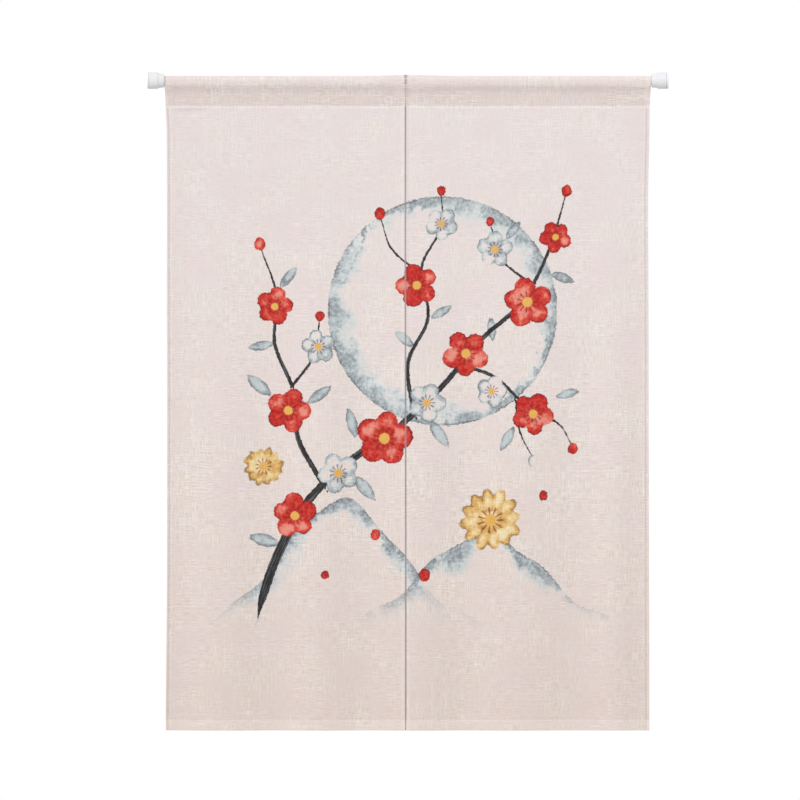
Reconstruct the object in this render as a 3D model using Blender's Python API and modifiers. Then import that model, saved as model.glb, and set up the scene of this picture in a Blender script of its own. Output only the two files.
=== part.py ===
"""Noren curtain on a round tension rod: two cloth panels, a plain bar, and a cap and a foot at each end.

Metres. +Z is up, +X runs along the rod and -Y faces the viewer. The origin is on the rod's axis,
halfway between the two feet.
"""

import math

import bmesh
import bpy

# The rod and its ends
ROD_LENGTH = 0.932  # from foot to foot
ROD_RADIUS = 0.0065
FOOT_RADIUS = 0.0148
FOOT_THICKNESS = 0.0030
FOOT_EDGE = 0.0018  # rounding of the foot's rim
CAP_RADIUS = 0.0148
CAP_BODY = 0.0160  # straight length of the cap
CAP_EDGE = 0.0010  # rounding of the cap's two edges
COLLAR_RADIUS = 0.0132  # where the collar leaves the cap's shoulder
COLLAR_TIP_RADIUS = 0.0120
COLLAR_LENGTH = 0.0095
SOCKET_DEPTH = 0.0180  # of the rod's end in the cap
TOUCH_GAP = 0.0003  # left between pieces that touch

# The cloth
CURTAIN_WIDTH = 0.8606
DROP = 1.161  # from the rod's axis to the bottom edge
SLIT_X = -0.0040  # the slit lies a little left of the middle
SLIT_GAP = 0.0005
CLOTH_THICKNESS = 0.0011
HEM_THICKNESS = 0.0018
SIDE_HEM = 0.0077
BOTTOM_HEM = 0.0200
HEM_STEP = 0.0020  # over which a hem thins out to single cloth

# The rod pocket: a loop of cloth from the seam up the front, over the rod and down the back
SEAM_Z = -0.0470
POCKET_CLEARANCE = 0.0004  # between the rod and the hems that lie on it
POCKET_RADIUS = ROD_RADIUS + POCKET_CLEARANCE + HEM_THICKNESS / 2
WEDGE_DEPTH = 0.0040  # how far each layer leans out between the seam and the rod
WEDGE_POWER = 0.6  # below 1, so that the layers part quickly above the seam
BULGE_FOOT = -0.0200  # the layers swell round the rod between these two heights
BULGE_TOP = -0.0030

# The outer side edges
POCKET_FLARE = 0.0056  # how far the pocket's open ends spread past the drop
FLARE_LENGTH = 0.200  # below the rod, over which the spread dies out
FLARE_POWER = 5.5
WAIST = 0.0009  # the drop is narrowest here
WAIST_Z = -0.220
WAIST_LENGTH = 0.150

# Soft folds of the drop. Each is a smooth ridge towards the viewer where depth is below zero,
# and a trough where it is above; it grows from nothing at the seam to its depth at the bottom.
FOLD_COLUMNS = ("centre", "half_width", "depth")
FOLDS = (
    (-0.415, 0.034, 0.0045),
    (-0.324, 0.044, -0.0050),
    (-0.238, 0.046, 0.0050),
    (-0.154, 0.042, -0.0048),
    (-0.074, 0.044, 0.0048),
    (0.019, 0.048, -0.0055),
    (0.106, 0.044, 0.0048),
    (0.203, 0.056, -0.0055),
    (0.305, 0.050, 0.0060),
    (0.370, 0.030, -0.0045),
    (0.418, 0.028, 0.0040),
)
FOLD_GROWTH = 0.75  # drop below the seam over which the folds reach their depth
SWAY_DEPTH = 0.0030  # slow forward and backward wave down the drop
SWAY_LENGTH = 0.95

# Faces along each stretch of cloth, and round the turned pieces
DROP_ROWS = 21
POCKET_ROWS = 7
WRAP_ROWS = 10
PANEL_COLUMNS = 20
TURNED_SIDES = 32
CORNER_STEPS = 3
WELD_DISTANCE = 0.00003
SMOOTH_BELOW = math.radians(40)  # edges flatter than this are shaded smooth

# Plain finishes: colour, roughness, metallic
FINISHES = {
    "linen_cloth": ((0.80, 0.70, 0.67, 1), 0.92, 0.0),
    "white_enamel": ((0.84, 0.84, 0.85, 1), 0.35, 0.0),
    "white_plastic": ((0.86, 0.86, 0.87, 1), 0.42, 0.0),
    "grey_rubber": ((0.70, 0.70, 0.71, 1), 0.75, 0.0),
}


def clear_scene():
    """Removes whatever the startup scene holds."""
    for thing in list(bpy.data.objects):
        bpy.data.objects.remove(thing)


def make_collection(name):
    """A collection of that name in the scene."""
    collection = bpy.data.collections.new(name)
    bpy.context.scene.collection.children.link(collection)
    return collection


def make_materials():
    """One Principled material for each finish."""
    made = {}
    for name, (colour, roughness, metallic) in FINISHES.items():
        material = bpy.data.materials.new(name)
        material.use_nodes = True
        shader = material.node_tree.nodes["Principled BSDF"]
        shader.inputs["Base Color"].default_value = colour
        shader.inputs["Roughness"].default_value = roughness
        shader.inputs["Metallic"].default_value = metallic
        made[name] = material
    return made


def make_object(name, mesh, collection, material):
    """An object of that mesh, in the collection, with the material."""
    thing = bpy.data.objects.new(name, mesh)
    mesh.materials.append(material)
    collection.objects.link(thing)
    return thing


def smooth_step(t):
    """0 below 0, 1 above 1, and an even S between."""
    t = min(1.0, max(0.0, t))
    return t * t * (3 - 2 * t)


def fold_depth(x, z):
    """How far the drop's mid-surface lies behind the rod's axis at that place."""
    below = SEAM_Z - z
    grown = smooth_step(below / FOLD_GROWTH)
    depth = 0.0
    for row in FOLDS:
        fold = dict(zip(FOLD_COLUMNS, row))
        across = (x - fold["centre"]) / fold["half_width"]
        depth += fold["depth"] * math.exp(-across * across)
    sway = SWAY_DEPTH * math.sin(math.pi * max(0.0, below) / SWAY_LENGTH)
    return depth * grown + sway


def outer_edge(z):
    """Distance of the curtain's outer side edges from its middle: the pocket's ends flare, and the
    drop has a slight waist."""
    up = min(1.0, max(0.0, 1 + z / FLARE_LENGTH))
    from_waist = (z - WAIST_Z) / WAIST_LENGTH
    waist = WAIST * math.exp(-from_waist * from_waist)
    return CURTAIN_WIDTH / 2 + POCKET_FLARE * up**FLARE_POWER - waist


def pocket_depth(z):
    """How far each layer of the pocket stands off the seam's plane at a height between the seam
    and the rod's axis."""
    up = (z - SEAM_Z) / -SEAM_Z
    bulge = smooth_step((z - BULGE_FOOT) / (BULGE_TOP - BULGE_FOOT))
    return WEDGE_DEPTH * up**WEDGE_POWER + (POCKET_RADIUS - WEDGE_DEPTH) * bulge


def cloth_profile():
    """The (depth, height, is hem) points of the cloth's mid-surface from the bottom edge up to the
    seam, up the front, over the rod and down the back to the seam again."""
    hem_top = BOTTOM_HEM - DROP
    profile = [(0.0, -DROP, True), (0.0, hem_top, True)]
    low = hem_top + HEM_STEP
    high = SEAM_Z - HEM_STEP
    for k in range(DROP_ROWS + 1):
        profile.append((0.0, low + (high - low) * k / DROP_ROWS, False))
    profile.append((0.0, SEAM_Z, True))

    heights = [SEAM_Z * (1 - k / POCKET_ROWS) for k in range(1, POCKET_ROWS)]
    profile += [(-pocket_depth(z), z, False) for z in heights]
    for k in range(WRAP_ROWS + 1):
        angle = math.pi * (1 - k / WRAP_ROWS)
        profile.append((POCKET_RADIUS * math.cos(angle), POCKET_RADIUS * math.sin(angle), False))
    profile += [(pocket_depth(z), z, False) for z in reversed(heights)]
    profile.append((0.0, SEAM_Z, True))
    return profile


def panel_columns(width):
    """The (distance from the panel's left edge, is hem) of each column of vertices."""
    inner = SIDE_HEM + HEM_STEP
    columns = [(0.0, True), (SIDE_HEM, True)]
    for k in range(PANEL_COLUMNS + 1):
        columns.append((inner + (width - 2 * inner) * k / PANEL_COLUMNS, False))
    return columns + [(width - SIDE_HEM, True), (width, True)]


def make_panel(name, left_of_slit, collection, material):
    """One panel of cloth with its hems and its half of the rod pocket: a sheet of mid-surface,
    welded to itself along the seam, with a thickness that grows at the hems."""
    slit_edge = SLIT_X - SLIT_GAP / 2 if left_of_slit else SLIT_X + SLIT_GAP / 2
    width = CURTAIN_WIDTH / 2 + (slit_edge if left_of_slit else -slit_edge)
    columns = panel_columns(width)
    profile = cloth_profile()

    sheet = bmesh.new()
    bmesh.ops.create_grid(
        sheet, x_segments=len(columns) - 1, y_segments=len(profile) - 1, size=1
    )
    hems = sheet.verts.layers.deform.verify()
    for number, vertex in enumerate(sheet.verts):
        y, z, hem_row = profile[number // len(columns)]
        across, hem_column = columns[number % len(columns)]
        share = across / width
        if left_of_slit:
            left, right = -outer_edge(z), slit_edge
        else:
            left, right = slit_edge, outer_edge(z)
        x = left + (right - left) * share
        vertex.co = (x, y + fold_depth(x, z), z)
        vertex[hems][0] = 1.0 if hem_row or hem_column else 0.0
    bmesh.ops.remove_doubles(sheet, verts=sheet.verts, dist=WELD_DISTANCE)
    bmesh.ops.recalc_face_normals(sheet, faces=sheet.faces)
    mesh = bpy.data.meshes.new(name)
    sheet.to_mesh(mesh)
    sheet.free()

    panel = make_object(name, mesh, collection, material)
    group = panel.vertex_groups.new(name="hems")
    cloth = panel.modifiers.new("Cloth thickness", "SOLIDIFY")
    cloth.solidify_mode = "NON_MANIFOLD"
    cloth.nonmanifold_thickness_mode = "CONSTRAINTS"
    cloth.thickness = HEM_THICKNESS
    cloth.vertex_group = group.name
    cloth.thickness_vertex_group = CLOTH_THICKNESS / HEM_THICKNESS
    cloth.offset = 0
    cloth.nonmanifold_merge_threshold = WELD_DISTANCE
    mesh.shade_smooth()
    mesh.set_sharp_from_angle(angle=SMOOTH_BELOW)


def make_turned(name, profile, side, collection, material):
    """A turned piece about the rod's axis: profile holds (radius, distance from the middle of the
    rod), from the outer end on the axis, and side is +1 for the right end or -1 for the left."""
    mesh = bpy.data.meshes.new(name)
    points = [(radius, 0.0, along) for radius, along in profile]
    mesh.from_pydata(points, [(k, k + 1) for k in range(len(points) - 1)], [])
    piece = make_object(name, mesh, collection, material)
    piece.rotation_euler = (0, side * math.pi / 2, 0)
    screw = piece.modifiers.new("Turned", "SCREW")
    screw.steps = screw.render_steps = TURNED_SIDES
    screw.use_merge_vertices = True
    screw.merge_threshold = WELD_DISTANCE
    screw.use_smooth_shade = True


def rounded_corner(radius, along, edge, outer):
    """Points of a quarter round on a turned piece's rim, from its end face to its side, or from
    its side to its inner face when outer is False."""
    points = []
    for k in range(CORNER_STEPS + 1):
        turn = math.pi / 2 * k / CORNER_STEPS
        rise, fall = edge * math.sin(turn), edge * math.cos(turn)
        if outer:
            points.append((radius - edge + rise, along - edge + fall))
        else:
            points.append((radius - edge + fall, along + edge - rise))
    return points


def make_rod(collection, material):
    """The plain bar, whose ends sit in the two caps."""
    collar_tip = ROD_LENGTH / 2 - FOOT_THICKNESS - TOUCH_GAP - CAP_BODY - COLLAR_LENGTH
    reach = collar_tip + SOCKET_DEPTH
    bpy.ops.mesh.primitive_cylinder_add(
        vertices=TURNED_SIDES, radius=ROD_RADIUS, depth=2 * reach
    )
    rod = bpy.context.object
    rod.name = rod.data.name = "rod"
    rod.rotation_euler = (0, math.pi / 2, 0)
    for owner in rod.users_collection:
        owner.objects.unlink(rod)
    collection.objects.link(rod)
    rod.data.materials.append(material)
    rod.data.shade_smooth()
    rod.data.set_sharp_from_angle(angle=SMOOTH_BELOW)


def make_end(side_name, side, collection, materials):
    """The cap and the foot at one end of the rod."""
    outer = ROD_LENGTH / 2
    foot_inner = outer - FOOT_THICKNESS
    foot = [(0, outer)]
    foot += rounded_corner(FOOT_RADIUS, outer, FOOT_EDGE, True)
    foot += [(FOOT_RADIUS, foot_inner), (0, foot_inner)]
    make_turned("foot_" + side_name, foot, side, collection, materials["grey_rubber"])

    face = foot_inner - TOUCH_GAP
    shoulder = face - CAP_BODY
    tip = shoulder - COLLAR_LENGTH
    bore = ROD_RADIUS + TOUCH_GAP
    socket_end = tip + SOCKET_DEPTH + TOUCH_GAP
    cap = [(0, face)]
    cap += rounded_corner(CAP_RADIUS, face, CAP_EDGE, True)
    cap += rounded_corner(CAP_RADIUS, shoulder, CAP_EDGE, False)
    cap += [(COLLAR_RADIUS, shoulder), (COLLAR_TIP_RADIUS, tip), (bore, tip)]
    cap += [(bore, socket_end), (0, socket_end)]
    make_turned("cap_" + side_name, cap, side, collection, materials["white_plastic"])


def main():
    """Builds the two panels, the rod and its two ends."""
    clear_scene()
    curtain = make_collection("noren_curtain")
    materials = make_materials()
    make_panel("panel_left", True, curtain, materials["linen_cloth"])
    make_panel("panel_right", False, curtain, materials["linen_cloth"])
    make_rod(curtain, materials["white_enamel"])
    for side_name, side in (("left", -1), ("right", 1)):
        make_end(side_name, side, curtain, materials)


main()
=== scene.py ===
"""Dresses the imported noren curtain: thin printed cloth with its hems, seams and slit, a capped rod,
and the studio that it hangs in.

Metres, in the frame's own axes: +Z is up, +X runs along the rod and -Y faces the viewer.
"""

import logging
import math
from dataclasses import dataclass, field
from enum import Enum

import bpy
import numpy as np
from numpy.typing import NDArray
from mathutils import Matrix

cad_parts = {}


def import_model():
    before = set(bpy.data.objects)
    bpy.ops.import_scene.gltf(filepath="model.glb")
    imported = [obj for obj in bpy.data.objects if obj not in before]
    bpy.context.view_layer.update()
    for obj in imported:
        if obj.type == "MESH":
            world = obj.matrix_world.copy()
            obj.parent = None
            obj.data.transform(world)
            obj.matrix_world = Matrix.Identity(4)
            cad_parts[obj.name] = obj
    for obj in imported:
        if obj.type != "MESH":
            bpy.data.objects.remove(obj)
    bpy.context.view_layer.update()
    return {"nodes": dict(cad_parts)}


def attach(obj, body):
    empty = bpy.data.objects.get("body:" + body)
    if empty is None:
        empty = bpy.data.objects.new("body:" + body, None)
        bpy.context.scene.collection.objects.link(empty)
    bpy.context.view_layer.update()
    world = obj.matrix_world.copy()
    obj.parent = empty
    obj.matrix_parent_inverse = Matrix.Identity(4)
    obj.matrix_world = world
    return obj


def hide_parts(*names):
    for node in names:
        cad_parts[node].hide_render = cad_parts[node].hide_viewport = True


Array = NDArray[np.float64]
Colour = tuple[float, float, float, float]

LOG = logging.getLogger("noren")
BODY = "root"


class Side(Enum):
    """One side of the curtain, as the sign of its X."""

    LEFT = -1
    RIGHT = 1


class Pigment(Enum):
    """The wash that a blossom is painted in, as its place in the petals attribute."""

    RED = 0
    WHITE = 1
    GOLD = 2


def hex_to_linear(code: str) -> Colour:
    """Turns an sRGB hex colour into linear light.

    Args:
        code: The colour as "#rrggbb".

    Returns:
        Red, green, blue and an alpha of 1.
    """
    channels = [int(code[k : k + 2], 16) / 255 for k in (1, 3, 5)]
    linear = [c / 12.92 if c <= 0.04045 else ((c + 0.055) / 1.055) ** 2.4 for c in channels]
    return (linear[0], linear[1], linear[2], 1.0)


def smooth_step(t: Array) -> Array:
    """An even S from 0 to 1: three times the square less twice the cube of t, held to 0..1.

    Args:
        t: Where along the step each value lies.

    Returns:
        The height of the step there.
    """
    held = np.clip(t, 0.0, 1.0)
    return held * held * (3 - 2 * held)


def bump_at(t: Array) -> Array:
    """A bell of height 1: e to the minus t squared.

    Args:
        t: Distance from the middle, in half widths.

    Returns:
        The height of the bell there.
    """
    return np.exp(-t * t)


def add_node(
    tree: bpy.types.NodeTree,
    kind: str,
    inputs: dict[str | int, object] | None = None,
    **settings: object,
) -> bpy.types.Node:
    """Adds one node to a tree, with its settings and links.

    Args:
        tree: The node tree that gets the node.
        kind: Blender's name for the node's type.
        inputs: What goes into each input: a node, whose first output is linked, a socket, or a
            fixed value.
        **settings: The node's own settings.

    Returns:
        The new node.
    """
    node = tree.nodes.new(kind)
    for name, value in settings.items():
        setattr(node, name, value)
    for name, value in (inputs or {}).items():
        if isinstance(value, bpy.types.Node):
            value = value.outputs[0]
        if isinstance(value, bpy.types.NodeSocket):
            tree.links.new(value, node.inputs[name])
        else:
            node.inputs[name].default_value = value
    return node


def new_material(name: str) -> tuple[bpy.types.Material, bpy.types.NodeTree, bpy.types.Node]:
    """Starts a material.

    Args:
        name: What the material is and how it was made.

    Returns:
        The material, its node tree and its Principled shader.
    """
    material = bpy.data.materials.new(name)
    material.use_nodes = True
    return material, material.node_tree, material.node_tree.nodes["Principled BSDF"]


def make_piece(
    name: str,
    points: Array,
    quads: NDArray[np.int64],
    triangles: NDArray[np.int64],
    material: bpy.types.Material,
    sharp: float,
) -> bpy.types.Object:
    """Puts whole arrays of points and faces into a new piece that rides on the part's one body.

    Args:
        name: The piece's name.
        points: Its vertices, one row each.
        quads: Its four-sided faces, as rows of vertex numbers.
        triangles: Its three-sided faces; there may be none.
        material: Its finish.
        sharp: Edges that bend by more than this many degrees are shaded sharp.

    Returns:
        The piece's object, at the origin.
    """
    mesh = bpy.data.meshes.new(name)
    loops = np.concatenate((quads.ravel(), triangles.ravel())).astype(np.int32)
    sizes = np.concatenate((np.full(len(quads), 4), np.full(len(triangles), 3)))
    starts = np.concatenate(([0], np.cumsum(sizes)[:-1])).astype(np.int32)
    mesh.vertices.add(len(points))
    mesh.vertices.foreach_set("co", points.astype(np.float32).ravel())
    mesh.loops.add(len(loops))
    mesh.loops.foreach_set("vertex_index", loops)
    mesh.polygons.add(len(sizes))
    mesh.polygons.foreach_set("loop_start", starts)
    mesh.update(calc_edges=True)
    mesh.validate()
    mesh.shade_smooth()
    mesh.set_sharp_from_angle(angle=math.radians(sharp))
    mesh.materials.append(material)
    piece = bpy.data.objects.new(name, mesh)
    bpy.context.scene.collection.objects.link(piece)
    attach(piece, BODY)
    return piece


def add_attribute(piece: bpy.types.Object, name: str, domain: str, rows: Array) -> None:
    """Gives a piece's mesh one vector for each point or each face corner.

    Args:
        piece: The piece.
        name: The attribute's name.
        domain: "POINT" or "CORNER".
        rows: The vectors, in the mesh's own order.
    """
    layer = piece.data.attributes.new(name, "FLOAT_VECTOR", domain)
    layer.data.foreach_set("vector", rows.astype(np.float32).ravel())


NO_TRIANGLES = np.zeros((0, 3), dtype=np.int64)


# ---------------------------------------------------------------- the cloth's shape


@dataclass(frozen=True)
class Fold:
    """One soft fold of the drop: a trough where depth is above zero, else a ridge."""

    centre: float
    half_width: float
    depth: float


@dataclass(frozen=True)
class Pucker:
    """One small crease that starts at the pocket's seam and dies out below it."""

    centre: float
    half_width: float
    depth: float
    reach: float


@dataclass(frozen=True)
class Bow:
    """One stretch of a side edge that stands out from the cut line."""

    centre: float
    half_length: float
    out: float


@dataclass(frozen=True)
class ClothShape:
    """The curtain's cloth as it hangs: its outline, folds, pocket and hems."""

    width: float = 0.8606
    drop: float = 1.1619
    slit_x: float = -0.0040
    slit_gap: float = 0.0005
    thickness: float = 0.0007
    hem_extra: float = 0.0008  # what the turned-in layers add at the back
    side_hem: float = 0.0077
    left_stitch: float = 0.0038  # from the left edge to its row of stitches
    right_stitch: float = 0.0056  # from the right edge to its own
    bottom_hem: float = 0.0200
    seam_z: float = -0.0470
    pocket_radius: float = 0.0078
    wedge_depth: float = 0.0030
    wedge_power: float = 1.4
    bulge_foot: float = -0.0240
    bulge_top: float = -0.0035
    lap: float = 0.0009  # the pocket's back layer lies this far behind the front one at the seam
    tail: float = 0.0028  # of the back layer, below the seam
    pocket_flare: float = 0.0056
    flare_length: float = 0.200
    flare_power: float = 5.5
    waist: float = 0.0009
    waist_z: float = -0.220
    waist_length: float = 0.150
    crown_rise: float = 0.0015  # the joined hems lift the cloth off the rod at the slit
    crown_middle: float = 0.006  # to the right of the slit
    crown_spread: float = 0.055
    slit_bows: tuple[Bow, ...] = (Bow(-0.280, 0.280, -0.0005), Bow(-0.900, 0.350, 0.0003))
    left_bows: tuple[Bow, ...] = (
        Bow(-0.055, 0.020, 0.0009),
        Bow(-0.220, 0.240, 0.0011),
        Bow(-1.160, 0.190, 0.0024),
    )
    right_bows: tuple[Bow, ...] = (
        Bow(-0.100, 0.060, 0.0016),
        Bow(-1.120, 0.400, 0.0012),
    )
    fold_growth: float = 0.75
    sway_depth: float = 0.0030
    sway_length: float = 0.95
    groove: float = 0.00028  # how deep a row of stitches draws the cloth in
    groove_width: float = 0.0010
    folds: tuple[Fold, ...] = (
        Fold(-0.415, 0.034, 0.0045),
        Fold(-0.324, 0.044, -0.0050),
        Fold(-0.238, 0.046, 0.0050),
        Fold(-0.154, 0.042, -0.0048),
        Fold(-0.074, 0.044, 0.0048),
        Fold(0.019, 0.048, -0.0055),
        Fold(0.106, 0.044, 0.0048),
        Fold(0.203, 0.056, -0.0055),
        Fold(0.305, 0.050, 0.0060),
        Fold(0.370, 0.030, -0.0045),
        Fold(0.418, 0.028, 0.0040),
    )
    puckers: tuple[Pucker, ...] = (
        Pucker(-0.405, 0.009, 0.0007, 0.030),
        Pucker(-0.388, 0.026, 0.0036, 0.022),
        Pucker(-0.363, 0.008, 0.0009, 0.026),
        Pucker(-0.318, 0.010, 0.0006, 0.034),
        Pucker(-0.262, 0.014, 0.0007, 0.060),
        Pucker(-0.211, 0.008, 0.0005, 0.028),
        Pucker(-0.150, 0.011, 0.0006, 0.040),
        Pucker(-0.087, 0.009, 0.0005, 0.030),
        Pucker(-0.031, 0.012, 0.0006, 0.050),
        Pucker(0.037, 0.010, 0.0006, 0.032),
        Pucker(0.093, 0.013, 0.0007, 0.052),
        Pucker(0.148, 0.008, 0.0005, 0.028),
        Pucker(0.209, 0.012, 0.0006, 0.044),
        Pucker(0.268, 0.009, 0.0007, 0.030),
        Pucker(0.322, 0.012, 0.0009, 0.050),
        Pucker(0.356, 0.008, 0.0008, 0.028),
        Pucker(0.398, 0.010, 0.0008, 0.034),
    )

    def slit_edge(self, side: Side) -> float:
        """X of that panel's edge at the slit."""
        return self.slit_x + side.value * self.slit_gap / 2

    def panel_width(self, side: Side) -> float:
        """Width of that panel as it hangs."""
        return self.width / 2 - side.value * self.slit_edge(side)

    def stitch_line(self, side: Side) -> float:
        """Distance from that panel's outer edge to the row of stitches along it."""
        return self.left_stitch if side is Side.LEFT else self.right_stitch

    def outer_edge(self, z: Array, side: Side) -> Array:
        """How far an outer side edge stands from the middle: half the width, plus a flare that
        grows as a high power of the height near the pocket, less a shallow bell at the waist,
        plus the side's own bows, which are bells.

        Args:
            z: The heights.
            side: The panel.

        Returns:
            The distances, in metres.
        """
        up = np.clip(1 + z / self.flare_length, 0.0, 1.0)
        waist = self.waist * bump_at((z - self.waist_z) / self.waist_length)
        bows = self.left_bows if side is Side.LEFT else self.right_bows
        bowed = sum(bow.out * bump_at((z - bow.centre) / bow.half_length) for bow in bows)
        return self.width / 2 + self.pocket_flare * up**self.flare_power - waist + bowed

    def lifted(self, x: Array, z: Array) -> Array:
        """The height with the rise at the slit: a flat-topped bell along the rod, e to the minus
        fourth power, which comes in by a smooth step from the rod's axis up to its crown.

        Args:
            x: Places along the rod.
            z: Heights on the pocket's plain section, of a shape that broadcasts with x.

        Returns:
            The heights, in metres.
        """
        bell = bump_at(((x - self.slit_x - self.crown_middle) / self.crown_spread) ** 2)
        return z + self.crown_rise * bell * smooth_step(z / self.pocket_radius)

    def hang_depth(self, x: Array, z: Array) -> Array:
        """How far the cloth's middle lies behind the rod's axis on the drop.

        The sum of the folds' bells, grown by a smooth step from the seam down, plus half a sine
        wave down the drop, the puckers' bells, which rise fast below the seam and then fade, and
        a slight ripple along the two outer hems.

        Args:
            x: Places along the rod.
            z: Heights, of a shape that broadcasts with x.

        Returns:
            The depths, in metres.
        """
        below = np.maximum(self.seam_z - z, 0.0)
        grown = smooth_step(below / self.fold_growth)
        folds = sum(f.depth * bump_at((x - f.centre) / f.half_width) for f in self.folds)
        sway = self.sway_depth * np.sin(np.pi * below / self.sway_length)
        puckers = sum(
            p.depth
            * bump_at((x - p.centre) / p.half_width)
            * smooth_step(below / 0.009)
            * np.exp(-below / p.reach)
            for p in self.puckers
        )
        inward = self.width / 2 - np.abs(x)
        ripple = 0.00018 * np.exp(-np.abs(inward) / 0.014) * smooth_step(below / 0.03)
        ripple = ripple * (np.sin(z * 2 * np.pi / 0.037) + np.sin(z * 2 * np.pi / 0.061 + 1.3))
        return folds * grown + sway + puckers + ripple

    def pocket_depth(self, z: Array) -> Array:
        """How far each layer of the pocket stands off the seam's plane: a wedge that opens as a
        root of the height above the seam, plus a smooth swelling round the rod."""
        up = np.clip((z - self.seam_z) / -self.seam_z, 0.0, 1.0)
        bulge = smooth_step((z - self.bulge_foot) / (self.bulge_top - self.bulge_foot))
        wedge = self.wedge_depth * up**self.wedge_power
        return wedge + (self.pocket_radius - self.wedge_depth) * bulge

    def section(self) -> tuple[Array, Array]:
        """The cloth's section across the rod: straight up the drop, up the pocket's front, half a
        circle over the rod, down the back, and a short tail behind the seam.

        Returns:
            The (depth, height) points from the bottom edge on, and the length along the cloth at
            each of them.
        """
        rise = np.linspace(self.seam_z, 0.0, 70)
        turn = np.linspace(np.pi, 0.0, 61)
        fall = rise[::-1]
        lap = self.lap * (1 - smooth_step((fall - self.seam_z) / 0.020))
        points = np.concatenate(
            (
                [[0.0, -self.drop]],
                np.column_stack((-self.pocket_depth(rise), rise)),
                self.pocket_radius * np.column_stack((np.cos(turn), np.sin(turn)))[1:-1],
                np.column_stack((self.pocket_depth(fall) + lap, fall)),
                [[self.lap, self.seam_z - self.tail]],
            )
        )
        steps = np.hypot(*np.diff(points, axis=0).T)
        return points, np.concatenate(([0.0], np.cumsum(steps)))

    @property
    def seam_at(self) -> float:
        """Length along the cloth from the bottom edge to the pocket's seam."""
        return self.drop + self.seam_z

    @property
    def crown_at(self) -> float:
        """Length along the cloth from the bottom edge to where it meets the rod."""
        return self.drop - self.pocket_radius

    def strip_length(self) -> float:
        """Length along the cloth from the bottom edge to the tail's end."""
        return float(self.section()[1][-1])


# ---------------------------------------------------------------- the printed artwork


@dataclass(frozen=True)
class Blossom:
    """One five-petalled blossom, or a many-petalled one where it is gold."""

    x: float
    z: float
    radius: float
    turn: float
    pigment: Pigment


@dataclass(frozen=True)
class Leaf:
    """One lens-shaped leaf; turn is its long axis above +X, in degrees."""

    x: float
    z: float
    length: float
    width: float
    turn: float


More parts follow.
